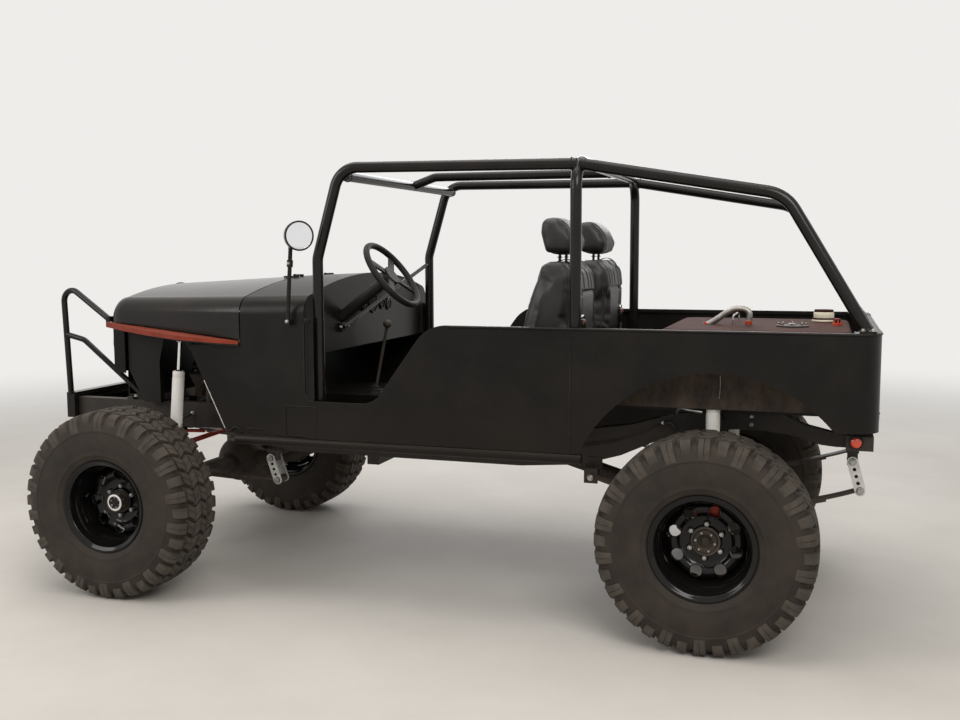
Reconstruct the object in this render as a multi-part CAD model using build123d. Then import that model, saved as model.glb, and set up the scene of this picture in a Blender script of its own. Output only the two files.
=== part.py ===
from build123d import *
import math
import os

# Lifted open-top off-road utility vehicle, built as separate named parts.
# Millimetres. +X is forward, +Y is the driver's left, +Z is up.
# The ground is z = 0. Stations count from midway between the axles; save() then
# moves the origin under the middle of the whole vehicle.

os.makedirs("parts", exist_ok=True)

# Main dimensions
WHEELBASE = 2685.0
AXLE_X = WHEELBASE / 2
FRONT_OVERHANG = 582.5
REAR_OVERHANG = 637.5
TYRE_R = 437.5
HUB_Z = TYRE_R
HUB_Y_FRONT = 865.0
HUB_Y_REAR = 735.0
BODY_HALF = 750.0
RAIL_TOP = 1282.0
SHEET = 3.0

# Fits
SEAT_GAP = 0.3
SWING_GAP = 6.0
BORE_FIT = 0.08

# Tub and frame ends
TUB_REAR = -AXLE_X - REAR_OVERHANG
FRAME_NOSE = AXLE_X + FRONT_OVERHANG
FRAME_TAIL = TUB_REAR + 25.0
BUMPER_DEPTH = 47.0
BUMPER_FRONT = FRAME_NOSE + BUMPER_DEPTH

# Frame
FRAME_IN = 370.0
FRAME_OUT = 420.0
RAIL_FRONT_TOP = 845.0
SPRING_Y = 460.0
SPRING_W = 60.0

# Grille shell
GRILLE_LOW = 858.0
GRILLE_HALF = 490.0
GRILLE_BACK_X = AXLE_X + 232.5
GRILLE_FRONT_X = GRILLE_BACK_X + 65.0
NOTCH_Y = 386.0
NOTCH_Z = 990.0

# Tailgate hinge line behind the sill
GATE_PIN_X = TUB_REAR - 8.5
GATE_BARREL_R = 7.5
BOX_MID_X = (BUMPER_FRONT + GATE_PIN_X - GATE_BARREL_R) / 2

# Tub levels
FLOOR_Z = 790.0
BED_Z = 925.0
TUB_LOW = 760.0
COWL_BACK_X = 430.0
COWL_FRONT_X = AXLE_X - 575.5

# Shared small sizes
TUBE_CAGE = 24.0
BOLT_R = 8.0


def box(x0, x1, y0, y1, z0, z1):
    """Axis-aligned block between two corners."""
    solid = Box(abs(x1 - x0), abs(y1 - y0), abs(z1 - z0))
    return Pos((x0 + x1) / 2, (y0 + y1) / 2, (z0 + z1) / 2) * solid


def cyl_y(x, z, radius, y0, y1):
    """Cylinder along Y."""
    turned = Rot(90, 0, 0) * Cylinder(radius, abs(y1 - y0))
    return Pos(x, (y0 + y1) / 2, z) * turned


def cyl_x(y, z, radius, x0, x1):
    """Cylinder along X."""
    turned = Rot(0, 90, 0) * Cylinder(radius, abs(x1 - x0))
    return Pos((x0 + x1) / 2, y, z) * turned


def cyl_z(x, y, radius, z0, z1):
    """Cylinder along Z."""
    return Pos(x, y, (z0 + z1) / 2) * Cylinder(radius, abs(z1 - z0))


def rod(start, end, radius):
    """Round bar from one point to another."""
    a = Vector(*start)
    b = Vector(*end)
    axis = Plane(origin=(a + b) / 2, z_dir=b - a)
    return axis * Cylinder(radius, (b - a).length)


def bent_tube(points, radius, bend):
    """Round bar that follows a path with rounded bends."""
    path = FilletPolyline(*points, radius=bend)
    start = Plane(origin=path @ 0, z_dir=path % 0)
    return sweep(start * Circle(radius), path=path)


def side_plate(points, y0, y1):
    """Polygon in the XZ plane, extruded along Y."""
    face = make_face(Polyline(*[(x, y0, z) for x, z in points], close=True))
    return extrude(face, amount=y1 - y0, dir=(0, 1, 0))


def mirrored(shape):
    """The same shape on the other side of the vehicle."""
    return mirror(shape, about=Plane.XZ)


def both(shape):
    """A left shape together with its right twin."""
    return shape + mirrored(shape)


def flat_arm(start, end, half, z0, z1):
    """Flat bar with round ends between two upright pivots."""
    a = Vector(start[0], start[1], z0)
    b = Vector(end[0], end[1], z0)
    side = (b - a).normalized().rotate(Axis.Z, 90) * half
    face = make_face(Polyline(a + side, b + side, b - side, a - side, close=True))
    bar = extrude(face, amount=z1 - z0, dir=(0, 0, 1))
    return bar + cyl_z(start[0], start[1], half, z0, z1) + cyl_z(end[0], end[1], half, z0, z1)


def save(name, shape):
    """Write one node."""
    if isinstance(shape, ShapeList):
        shape = Compound(children=list(shape))
    shape = Pos(-BOX_MID_X, 0, 0) * shape
    shape.label = name
    export_step(shape, f"parts/{name}.step")


# Shocks: body, chrome rod and two eyes; the body ends at "split"
SHOCKS = [
    {"end": "front", "top": (AXLE_X - 164.5, 590.0, 1188.0), "foot": (AXLE_X - 99.5, 590.0, 492.0),
     "split": 1025.0},
    {"end": "rear", "top": (-AXLE_X, 540.0, 1050.0), "foot": (-AXLE_X, 540.0, 500.0), "split": 960.0},
]
SHOCK_R = 29.0
SHOCK_ROD_R = 10.0
STUD_SHOCK_R = 10.0

# Frame: side rails with kick-ups, crossmembers, hangers and body pads
HUMP_END_X = -AXLE_X - 277.5


def tail_x(share):
    """Station on the straight tail, from the end of the hump to the end of the frame."""
    return HUMP_END_X + (FRAME_TAIL - HUMP_END_X) * share


RAIL_TOP_LINE = [
    (FRAME_NOSE, RAIL_FRONT_TOP), (AXLE_X - 262.5, RAIL_FRONT_TOP), (AXLE_X - 622.5, 748), (-480, 748),
    (-AXLE_X + 532.5, 815), (-AXLE_X + 362.5, 840), (-AXLE_X + 177.5, 896), (-AXLE_X + 42.5, 912),
    (HUMP_END_X, 912), (tail_x(0.25), 874), (tail_x(0.6), 847), (FRAME_TAIL, 845),
]
RAIL_LOW_LINE = [
    (FRAME_TAIL, 788), (tail_x(0.62), 789), (tail_x(0.45), 794), (tail_x(0.13), 826), (-AXLE_X - 197.5, 842),
    (-AXLE_X - 77.5, 842), (-AXLE_X + 102.5, 821), (-AXLE_X + 227.5, 784), (-AXLE_X + 407.5, 701),
    (-AXLE_X + 582.5, 650), (-480, 628), (AXLE_X - 622.5, 628), (AXLE_X - 262.5, 722),
    (AXLE_X + 57.5, 718), (FRAME_NOSE, 708),
]

# Each spring: the fixed eye, the shackle's top pin and the eye below it, as (x, z)
SPRINGS = [
    {"end": "front", "axle": AXLE_X, "fixed": (FRAME_NOSE - 40.0, 560.0),
     "pivot": (AXLE_X - 585.5, 602.0), "eye": (AXLE_X - 620.5, 498.0)},
    {"end": "rear", "axle": -AXLE_X, "fixed": (-AXLE_X + 522.5, 612.0),
     "pivot": (FRAME_TAIL + 62.0, 745.0), "eye": (FRAME_TAIL + 30.0, 628.0)},
]
RAIL_MID_Y = (FRAME_IN + FRAME_OUT) / 2
GEARBOX_SEAT_Z = 630.0
LEAF_T = 8.0
LEAF_N = 4
LEAF_STEP = 0.22
LEAF_MID_Z = 523.0
EYE_R = 19.0
HANGER_T = 8.0

# Crossmembers between the rails
CROSSMEMBERS = [
    {"x0": FRAME_NOSE - 105, "x1": FRAME_NOSE - 45, "low": 728, "top": 800},
    {"x0": AXLE_X + 99.5, "x1": AXLE_X + 149.5, "low": 718, "top": 752},
    {"x0": -420, "x1": -370, "low": 716, "top": 748},
    {"x0": -AXLE_X + 162.5, "x1": -AXLE_X + 212.5, "low": 812, "top": 870},
    {"x0": FRAME_TAIL, "x1": FRAME_TAIL + 55, "low": 788, "top": 845},
]

# Body mounts on top of the rails
PAD_R = 24.0
BODY_PADS = [
    {"x": 600, "under": FLOOR_Z}, {"x": 0, "under": FLOOR_Z}, {"x": -450, "under": FLOOR_Z},
    {"x": -AXLE_X - 117.5, "under": BED_Z}, {"x": FRAME_TAIL + 55, "under": BED_Z},
]

# Two drawbar bolt holes through the plate on the rear crossmember
DRAWBAR_Y = 45.0
DRAWBAR_Z = 816.0
DRAWBAR_R = 8.0
DRAWBAR_PLATE_X = FRAME_TAIL - 7.0

# Rear beam that carries the round lamps at its ends
BEAM_LOW = 826.0
BEAM_TOP = 882.0
BEAM_HALF = BODY_HALF - 60.0
LAMP_R = 25.0


def rail_z(line, x):
    """Height of a rail edge at one station."""
    pts = sorted(line)
    for (xa, za), (xb, zb) in zip(pts, pts[1:]):
        if xa <= x <= xb:
            return za + (zb - za) * (x - xa) / (xb - xa)
    raise ValueError(x)


def hanger(x, z, y_in, y_out):
    """Fixed spring hanger: two cheeks, a roof and a bolt."""
    roof = EYE_R + 12
    top = rail_z(RAIL_LOW_LINE, x) + 20
    cheek_in = box(x - 30, x + 30, FRAME_OUT - 30, y_in - 1, z - 26, top)
    cheek_out = box(x - 30, x + 30, y_out + 1, y_out + 1 + HANGER_T, z - 26, z + roof + 8)
    bridge = box(x - 30, x + 30, y_in - 1, y_out + 1 + HANGER_T, z + roof, z + roof + 8)
    bolt = cyl_y(x, z, BOLT_R, y_in - 1, y_out + HANGER_T + 10)
    return cheek_in + cheek_out + bridge + bolt


def shackle_mount(x, z, y_in, y_out):
    """Block under the rail that carries the shackle's upper pin."""
    low = rail_z(RAIL_LOW_LINE, x)
    arm = box(x - 24, x + 24, FRAME_IN, y_out - 4, low - 10, low + 2)
    lug = box(x - 20, x + 20, y_in + 4, y_out - 4, z - 16, low - 4)
    bore = cyl_y(x, z, BOLT_R + SEAT_GAP, y_in - 5, y_out + 5)
    return arm + lug - bore


def shock_towers():
    """Upper shock mounts, left side."""
    fx, fy, fz = SHOCKS[0]["top"]
    front = bent_tube([(fx - 28, 395, 835), (fx - 28, 395, 1010), (fx, fy - 45, fz)], 19, 60)
    front += cyl_y(fx, fz, STUD_SHOCK_R, fy - 55, fy + 22)
    rx, ry, rz = SHOCKS[1]["top"]
    rear = box(rx - 30, rx + 30, FRAME_OUT - 20, ry - 44, 868, 900)
    rear += box(rx - 30, rx + 30, ry - 52, ry - 44, 868, rz + 22)
    rear += cyl_y(rx, rz, STUD_SHOCK_R, ry - 50, ry + 20)
    return front + rear


def rear_beam():
    """Beam across the frame's tail with a lamp cup at each end."""
    back = DRAWBAR_PLATE_X
    beam = box(back, back + 60, -BEAM_HALF, BEAM_HALF, BEAM_LOW, BEAM_TOP)
    end = box(back, back + 100, FRAME_OUT, BEAM_HALF, BEAM_LOW, BEAM_TOP)
    lamp_z = BEAM_TOP - LAMP_R + 2
    end += cyl_y(back + 64, lamp_z, LAMP_R, BEAM_HALF - 1, BEAM_HALF + 12)
    return beam + both(end)


def build_frame():
    rail = side_plate(RAIL_TOP_LINE + RAIL_LOW_LINE, FRAME_IN, FRAME_OUT)
    y_in = SPRING_Y - SPRING_W / 2
    y_out = SPRING_Y + SPRING_W / 2
    left = rail + shock_towers()
    for row in SPRINGS:
        left += hanger(row["fixed"][0], row["fixed"][1], y_in, y_out)
        left += shackle_mount(row["pivot"][0], row["pivot"][1], y_in, y_out)
    for pad in BODY_PADS:
        x = pad["x"]
        left += cyl_z(x, RAIL_MID_Y, PAD_R, rail_z(RAIL_TOP_LINE, x) - 5, pad["under"] - SHEET)
    left += box(GRILLE_BACK_X + 17, GRILLE_FRONT_X - 14, FRAME_IN + 2, FRAME_OUT - 2,
                RAIL_FRONT_TOP - 5, GRILLE_LOW)
    frame = both(left)
    for row in CROSSMEMBERS:
        frame += box(row["x0"], row["x1"], -FRAME_IN - 5, FRAME_IN + 5, row["low"], row["top"])
    frame += box(220, 280, -FRAME_OUT, FRAME_OUT, GEARBOX_SEAT_Z - 42, GEARBOX_SEAT_Z)
    plate_x = DRAWBAR_PLATE_X
    frame += box(plate_x, plate_x + 12, -470, 470, DRAWBAR_Z - 30, DRAWBAR_Z + 30) + rear_beam()
    return frame - both(cyl_x(DRAWBAR_Y, DRAWBAR_Z, DRAWBAR_R, plate_x - 8, plate_x + 72))


# Front bumper with a tube frame on each side
BUMPER_HALF = 455.0
BUMPER_LOW = 742.0
BUMPER_TOP = 872.0
BUMPER_WALL = 6.0


def build_bumper():
    front = BUMPER_FRONT
    wall = BUMPER_WALL
    beam = box(FRAME_NOSE, front, -BUMPER_HALF, BUMPER_HALF, BUMPER_LOW, BUMPER_TOP)
    beam -= box(FRAME_NOSE + wall, front - wall, wall - BUMPER_HALF, BUMPER_HALF - wall,
                BUMPER_LOW + wall, BUMPER_TOP - wall)
    beam -= box(FRAME_NOSE - 1, front - wall, -340, 340, BUMPER_LOW + 18, BUMPER_TOP - 18)
    leg_y = BUMPER_HALF - 3
    hoop = bent_tube([(front - 26, leg_y, BUMPER_TOP - wall), (front - 20, 471, 1453),
                      (GRILLE_FRONT_X + 16, 500, 1262)], 15, 60)
    brace = bent_tube([(front - 22, 463, 1176), (front - 127, 457, 1150),
                       (GRILLE_BACK_X - 45, 400, RAIL_FRONT_TOP + 13)], 14, 60)
    brace -= box(GRILLE_BACK_X - 175, GRILLE_FRONT_X + 60, 300, 500, 800, RAIL_FRONT_TOP)
    foot = box(GRILLE_BACK_X - 75, GRILLE_BACK_X - 15, FRAME_IN + 6, FRAME_OUT,
               RAIL_FRONT_TOP, RAIL_FRONT_TOP + 14)
    tip = box(GRILLE_FRONT_X + 2, GRILLE_FRONT_X + 24, 482, 514, 1240, 1276)
    return beam + both(hoop + brace + foot + tip)


# Leaf springs
def arc_points(a, m, b):
    """Centre and radius of the circle through three XZ points."""
    ax, az = a
    mx, mz = m
    bx, bz = b
    d = 2 * (ax * (mz - bz) + mx * (bz - az) + bx * (az - mz))
    ux = ((ax**2 + az**2) * (mz - bz) + (mx**2 + mz**2) * (bz - az)
          + (bx**2 + bz**2) * (az - mz)) / d
    uz = ((ax**2 + az**2) * (bx - mx) + (mx**2 + mz**2) * (ax - bx)
          + (bx**2 + bz**2) * (mx - ax)) / d
    return ux, uz, math.hypot(ax - ux, az - uz)


def leaf(centre, inner, outer, x0, x1, y0, y1):
    """Curved strip between two radii and two stations; the centre lies above."""
    cx, cz = centre

    def at(r, x):
        return (x, y0, cz - math.sqrt(r * r - (x - cx) ** 2))

    xm = (x0 + x1) / 2
    edge = Curve() + [
        ThreePointArc(at(inner, x0), at(inner, xm), at(inner, x1)),
        Line(at(inner, x1), at(outer, x1)),
        ThreePointArc(at(outer, x1), at(outer, xm), at(outer, x0)),
        Line(at(outer, x0), at(inner, x0)),
    ]
    return extrude(make_face(edge), amount=y1 - y0, dir=(0, 1, 0))


def build_spring(row):
    y0 = SPRING_Y - SPRING_W / 2
    y1 = SPRING_Y + SPRING_W / 2
    mid = (row["axle"], LEAF_MID_Z)
    cx, cz, radius = arc_points(row["eye"], mid, row["fixed"])
    ends = sorted((row["eye"][0], row["fixed"][0]))
    pack = None
    for n in range(LEAF_N):
        keep = 1 - LEAF_STEP * n
        x0 = row["axle"] + (ends[0] - row["axle"]) * keep
        x1 = row["axle"] + (ends[1] - row["axle"]) * keep
        inner = radius + LEAF_T * (n - 0.5)
        strip = leaf((cx, cz), inner, inner + LEAF_T, x0, x1, y0, y1)
        pack = strip if pack is None else pack + strip
    for x, z in (row["eye"], row["fixed"]):
        pack += cyl_y(x, z, EYE_R, y0, y1)
        pack -= cyl_y(x, z, BOLT_R + SEAT_GAP, y0 - 1, y1 + 1)
    return pack


# Spring clamps sit on the axles: perch below, plate above, U-bolts round the tube
PERCH_HALF = 62.0
PLATE_OVER = 16.0


def spring_clamp(row, tube_r):
    axle_x = row["axle"]
    y0 = SPRING_Y - SPRING_W / 2
    y1 = SPRING_Y + SPRING_W / 2
    plate_z = LEAF_MID_Z + LEAF_T / 2 + 4
    x0 = axle_x - PERCH_HALF
    x1 = axle_x + PERCH_HALF
    clamp = box(x0, x1, y0, y1, HUB_Z + tube_r * 0.6, LEAF_MID_Z)
    clamp += box(x0, x1, y0 - PLATE_OVER, y1 + PLATE_OVER, LEAF_MID_Z - 2, plate_z + 10)
    cx, cz, radius = arc_points(row["eye"], (axle_x, LEAF_MID_Z), row["fixed"])
    clamp -= leaf((cx, cz), radius - LEAF_T / 2 - SEAT_GAP, radius + LEAF_T * (LEAF_N - 0.5) + SEAT_GAP,
                  x0 - 5, x1 + 5, y0 - 30, y1 + 30)
    for dx in (-48, 48):
        for y in (y0 - 9, y1 + 9):
            clamp += cyl_z(axle_x + dx, y, 6, HUB_Z - tube_r - 9, plate_z + 26)
        clamp += box(axle_x + dx - 6, axle_x + dx + 6, y0 - 15, y1 + 15,
                     HUB_Z - tube_r - 12, HUB_Z - tube_r - 2)
    clamp += box(axle_x - 56, axle_x + 56, y0 - 15, y1 + 15, HUB_Z - tube_r - 3, HUB_Z - tube_r + 6)
    return clamp


def build_shackle(row):
    px, pz = row["pivot"]
    ex, ez = row["eye"]
    length = math.hypot(ex - px, ez - pz)
    ux = (ex - px) / length
    uz = (ez - pz) / length
    half = 21.0
    y_in = SPRING_Y - SPRING_W / 2 - 1.5
    y_out = SPRING_Y + SPRING_W / 2 + 1.5
    a = (px - ux * 4, pz - uz * 4)
    b = (ex + ux * 4, ez + uz * 4)
    nx, nz = -uz * half, ux * half
    shape = [(a[0] + nx, a[1] + nz), (b[0] + nx, b[1] + nz),
             (b[0] - nx, b[1] - nz), (a[0] - nx, a[1] - nz)]

    def plate(y0, y1):
        flat = side_plate(shape, y0, y1)
        flat += cyl_y(px, pz, half, y0, y1) + cyl_y(ex, ez, half, y0, y1)
        return flat

    body = plate(y_in - 6, y_in) + plate(y_out, y_out + 6)
    for x, z, r in ((px, pz, BOLT_R), (ex, ez, BOLT_R)):
        body += cyl_y(x, z, r, y_in - 6, y_out + 6)
        body += cyl_y(x, z, 11, y_out + 5, y_out + 14)
    mid = ((px + ex) / 2, (pz + ez) / 2)
    body += cyl_y(mid[0], mid[1], 7, y_in - 1, y_out + 1)
    return body


def build_shock(row):
    top = Vector(*row["top"])
    foot = Vector(*row["foot"])
    share = (row["split"] - foot.Z) / (top.Z - foot.Z)
    split = foot + (top - foot) * share
    low = foot + (top - foot).normalized() * 16
    body = rod(tuple(low), tuple(split), SHOCK_R)
    body += rod(tuple(split - (top - foot) * 0.01), tuple(top), SHOCK_ROD_R)
    for x, y, z in (tuple(top), tuple(foot)):
        body += cyl_y(x, z, 20, y - 18, y + 18)
        body -= cyl_y(x, z, STUD_SHOCK_R + SEAT_GAP, y - 60, y + 60)
    return body


# Axles
AXLE_R = 40.0
FORK_Y = HUB_Y_FRONT - 130.0

# Steering: tie rod and drag link both run ahead of the axle
ARM_X = AXLE_X + 150.0
ARM_Y = FORK_Y
STUD_R = 9.0
KINGPIN_RIGHT = (AXLE_X, -FORK_Y)
PITMAN_AT = (AXLE_X + 7.5, 345.0)
PITMAN_REACH = (150.0, 60.0)
PITMAN_Z = 680.0
LINK_Z_LEFT = 560.0
LINK_Z_RIGHT = 590.0

PIN_R = 12.0
HUB_R = 47.0


def shock_foot(row, reach_x):
    """Stud on the axle for the lower shock eye."""
    x, y, z = row["foot"]
    arm = box(min(x, reach_x) - 12, max(x, reach_x) + 12, y - 48, y - 22, z - 24, z + 12)
    return arm + cyl_y(x, z, STUD_SHOCK_R, y - 30, y + 24)


def build_front_axle():
    axle = cyl_y(AXLE_X, HUB_Z, AXLE_R, 45 - FORK_Y, FORK_Y - 45)
    pumpkin = Pos(AXLE_X, -205, HUB_Z) * Sphere(128)
    pumpkin &= box(AXLE_X - 130, AXLE_X + 106, -320, -90, HUB_Z - 120, HUB_Z + 106)
    axle += pumpkin + cyl_x(-205, HUB_Z + 12, 46, AXLE_X - 215, AXLE_X - 60)
    left = box(AXLE_X - 30, AXLE_X + 30, FORK_Y - 57, FORK_Y - 37, HUB_Z - 84, HUB_Z + 84)
    left += box(AXLE_X - 30, AXLE_X + 30, FORK_Y - 45, FORK_Y + 25, HUB_Z + 60, HUB_Z + 84)
    left += box(AXLE_X - 30, AXLE_X + 30, FORK_Y - 45, FORK_Y + 25, HUB_Z - 84, HUB_Z - 60)
    left -= cyl_z(AXLE_X, FORK_Y, PIN_R, HUB_Z - 90, HUB_Z + 90)
    left += spring_clamp(SPRINGS[0], AXLE_R)
    left += shock_foot(SHOCKS[0], AXLE_X - 20)
    return axle + both(left)


def build_rear_axle():
    axle = cyl_y(-AXLE_X, HUB_Z, AXLE_R, 95 - HUB_Y_REAR, HUB_Y_REAR - 95)
    pumpkin = Pos(-AXLE_X, 0, HUB_Z) * Sphere(150)
    pumpkin &= box(-AXLE_X - 128, -AXLE_X + 150, -130, 130, HUB_Z - 135, HUB_Z + 120)
    axle += pumpkin + cyl_x(0, HUB_Z + 20, 50, -AXLE_X + 60, -AXLE_X + 235)
    drum = cyl_y(-AXLE_X, HUB_Z, 92, HUB_Y_REAR - 103, HUB_Y_REAR - 19)
    drum += box(-AXLE_X - 52, -AXLE_X + 52, HUB_Y_REAR - 95, HUB_Y_REAR - 29, HUB_Z + 84, HUB_Z + 140)
    hub = cyl_y(-AXLE_X, HUB_Z, HUB_R - BORE_FIT, HUB_Y_REAR - 35, HUB_Y_REAR + 22)
    left = drum + hub - cyl_y(-AXLE_X, HUB_Z, 30, HUB_Y_REAR + 6, HUB_Y_REAR + 30)
    left += spring_clamp(SPRINGS[1], AXLE_R)
    left += shock_foot(SHOCKS[1], -AXLE_X)
    return axle + both(left)


def build_knuckle():
    """Left steering knuckle with spindle, brake and steering arm."""
    block = box(AXLE_X - 34, AXLE_X + 34, FORK_Y + 4, FORK_Y + 47, HUB_Z - 58.5, HUB_Z + 58.5)
    block += cyl_z(AXLE_X, FORK_Y, 26, HUB_Z - 58.5, HUB_Z + 58.5)
    pin = cyl_z(AXLE_X, FORK_Y, PIN_R - BORE_FIT, HUB_Z - 90, HUB_Z + 90)
    cap = cyl_z(AXLE_X, FORK_Y, 22, HUB_Z + 86, HUB_Z + 96)
    cap += cyl_z(AXLE_X, FORK_Y, 22, HUB_Z - 96, HUB_Z - 86)
    rotor = cyl_y(AXLE_X, HUB_Z, 140, HUB_Y_FRONT - 59, HUB_Y_FRONT - 41)
    rotor += cyl_y(AXLE_X, HUB_Z, 75, FORK_Y + 45, HUB_Y_FRONT - 22)
    caliper = box(AXLE_X - 62, AXLE_X + 62, HUB_Y_FRONT - 81, HUB_Y_FRONT - 23, HUB_Z + 88, HUB_Z + 142)
    hub = cyl_y(AXLE_X, HUB_Z, HUB_R - BORE_FIT, HUB_Y_FRONT - 25, HUB_Y_FRONT + 14)
    hub += cyl_y(AXLE_X, HUB_Z, 43, HUB_Y_FRONT + 10, HUB_Y_FRONT + 52)
    hub -= cyl_y(AXLE_X, HUB_Z, 29, HUB_Y_FRONT + 40, HUB_Y_FRONT + 60)
    arm = box(AXLE_X + 20, ARM_X + 10, ARM_Y - 13, ARM_Y + 13, HUB_Z - 56, HUB_Z - 32)
    arm += cyl_z(ARM_X, ARM_Y, STUD_R, HUB_Z - 50, HUB_Z - 10)
    return block + pin + cap + rotor + caliper + hub + arm


def build_drag_arm():
    """Raised arm on the right knuckle that the drag link turns."""
    x, y = KINGPIN_RIGHT
    ex, ey = x + PITMAN_REACH[0], y + PITMAN_REACH[1]
    post = cyl_z(x, y, 24, HUB_Z + 90, LINK_Z_RIGHT - 18)
    stud = cyl_z(ex, ey, STUD_R, LINK_Z_RIGHT - 40, LINK_Z_RIGHT + 14)
    return post + flat_arm((x, y), (ex, ey), 22, LINK_Z_RIGHT - 40, LINK_Z_RIGHT - 18) + stud


# Wheels: steel rims with eight holes, six nuts and a deep dish
NUT_CIRCLE = 69.85
NUTS = 6
HOLE_CIRCLE = 126.0
HOLE_R = 24.0
HOLES = 8
BEAD_S = 131.0
BEAD_R = 191.0
RIM_SECTION = [
    (138, 212), (138, 199), (129, 185), (97, 182), (62, 166), (-72, 166),
    (-97, 182), (-129, 185), (-137, 199), (-137, 212), (-BEAD_S, 212), (-BEAD_S, BEAD_R),
    (-95, 188), (-70, 172), (60, 172), (95, 188), (BEAD_S, BEAD_R), (BEAD_S, 212),
]
DISC_SECTION = [
    (-8, HUB_R), (-8, 60), (-8, 100), (10, 125), (10, 150), (-4, 167), (-12, 167),
    (2, 149), (2, 128), (-16, 101), (-16, HUB_R),
]


def revolve_wheel(points):
    """Section given as (outboard offset, radius) turned about the Y axis."""
    face = make_face(Polyline(*[(r, s, 0) for s, r in points], close=True))
    return revolve(face, Axis.Y, 360)


def build_rim():
    """Rim at the origin, outboard towards +Y."""
    rim = revolve_wheel(RIM_SECTION) + revolve_wheel(DISC_SECTION)
    rim += Rot(90, 0, 0) * (Cylinder(54, 22) - Cylinder(HUB_R, 30))
    for k in range(HOLES):
        spot = Rot(0, 360 / HOLES * (k + 0.5), 0) * Pos(HOLE_CIRCLE, 6, 0)
        rim -= spot * Rot(90, 0, 0) * Cylinder(HOLE_R, 60)
    for k in range(NUTS):
        spot = Rot(0, 360 / NUTS * k, 0) * Pos(NUT_CIRCLE, 0, 0)
        rim += spot * Rot(90, 0, 0) * Cylinder(11, 24)
    return rim


# Tyres: a carcass of flat sectors with a shoulder lug on every second one
LUGS = 18
SECTORS = 2 * LUGS
HALF_SECTOR = math.pi / SECTORS
CARCASS_R = 424.0
TREAD_HALF = 137.5
LUG_REACH = 34.5
TYRE_BEAD_R = (BEAD_R + SEAT_GAP) / math.cos(HALF_SECTOR)
TYRE_SECTION = [
    (BEAD_S - SEAT_GAP, TYRE_BEAD_R), (BEAD_S - SEAT_GAP, 213), (150, 250), (157, 300), (150, 360),
    (134, 412), (100, CARCASS_R), (-100, CARCASS_R), (-134, 412), (-150, 360), (-157, 300),
    (-150, 250), (SEAT_GAP - BEAD_S, 213), (SEAT_GAP - BEAD_S, TYRE_BEAD_R),
    (-108, TYRE_BEAD_R), (-112, 215), (-140, 300), (-124, 395),
    (124, 395), (140, 300), (112, 215), (108, TYRE_BEAD_R),
]


def sectored_ring(section, sectors):
    """Closed ring of flat faces: the section, given as (offset, radius), repeated round the Y axis."""
    rings = []
    for k in range(sectors):
        angle = 2 * math.pi * (k + 0.5) / sectors
        rings.append([(r * math.cos(angle), s, -r * math.sin(angle)) for s, r in section])
    faces = []
    for k, ring in enumerate(rings):
        after = rings[(k + 1) % sectors]
        for n in range(len(section)):
            m = (n + 1) % len(section)
            faces.append(make_face(Polyline(ring[n], ring[m], after[m], after[n], close=True)))
    return Solid(Shell(faces))


def build_tyre():
    """Tyre at the origin with lugs out to its full radius."""
    tyre = sectored_ring(TYRE_SECTION, SECTORS)
    height = TYRE_R - CARCASS_R + 6
    width = 2 * CARCASS_R * math.sin(HALF_SECTOR)
    lug = Pos(TYRE_R - height / 2, TREAD_HALF - LUG_REACH / 2, 0) * Box(height, LUG_REACH, width)
    for k in range(LUGS):
        tyre += Rot(0, 360 / LUGS * k, 0) * lug
        tyre += Rot(0, 360 / LUGS * (k + 0.5), 0) * mirror(lug, about=Plane.XZ)
    return tyre


def place(shape, x, y, side):
    """Move a wheel part to its hub; the right side is the mirror image."""
    moved = Pos(x, y, HUB_Z) * shape
    return moved if side > 0 else mirrored(moved)


# Steering column, box and links
WHEEL_POS = (166.0, 360.0, 1486.0)
COLUMN_DIR = (0.797, 0.0, -0.604)
JACKET_R = 26.0
SHAFT_R = 19.0
SPINDLE_R = 9.0
BOX_TOP = 860.0


def along_column(length):
    return tuple(p + d * length for p, d in zip(WHEEL_POS, COLUMN_DIR))


def build_tie_rod():
    z = HUB_Z - 18
    bar = cyl_y(ARM_X, z, 14, -ARM_Y + 14, ARM_Y - 14)
    eye = cyl_z(ARM_X, ARM_Y, 20, z - 11, z + 10)
    return bar + both(eye) - both(cyl_z(ARM_X, ARM_Y, STUD_R + BORE_FIT, z - 40, z + 40))


def build_column():
    """Jacket, shaft through the firewall and the steering box on the left rail."""
    px, py = PITMAN_AT
    column = rod(along_column(33), along_column(335), JACKET_R)
    column += rod(along_column(20), along_column(34), SPINDLE_R - BORE_FIT)
    column += rod(along_column(320), along_column(735), SHAFT_R)
    column += rod(along_column(700), (px - 50, 335, 815), 11)
    column += box(px - 60, px + 60, 296, FRAME_IN - SEAT_GAP, 722, BOX_TOP)
    column += cyl_z(px, py, 24, PITMAN_Z + 12, 724)
    column += cyl_z(px, py, 14 - BORE_FIT, PITMAN_Z - 16, PITMAN_Z + 14)
    return column


def build_pitman():
    """Dropped arm under the steering box with the stud for the drag link."""
    px, py = PITMAN_AT
    ex, ey = px + PITMAN_REACH[0], py + PITMAN_REACH[1]
    low = LINK_Z_LEFT + 32
    arm = rod((px, py, PITMAN_Z), (ex, ey, low), 15)
    arm += cyl_z(px, py, 26, PITMAN_Z - 11, PITMAN_Z + 11) + cyl_z(ex, ey, 20, low - 16, low + 14)
    arm -= cyl_z(px, py, 14, PITMAN_Z - 20, PITMAN_Z + 20)
    return arm + cyl_z(ex, ey, STUD_R, LINK_Z_LEFT - 14, low)


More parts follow.
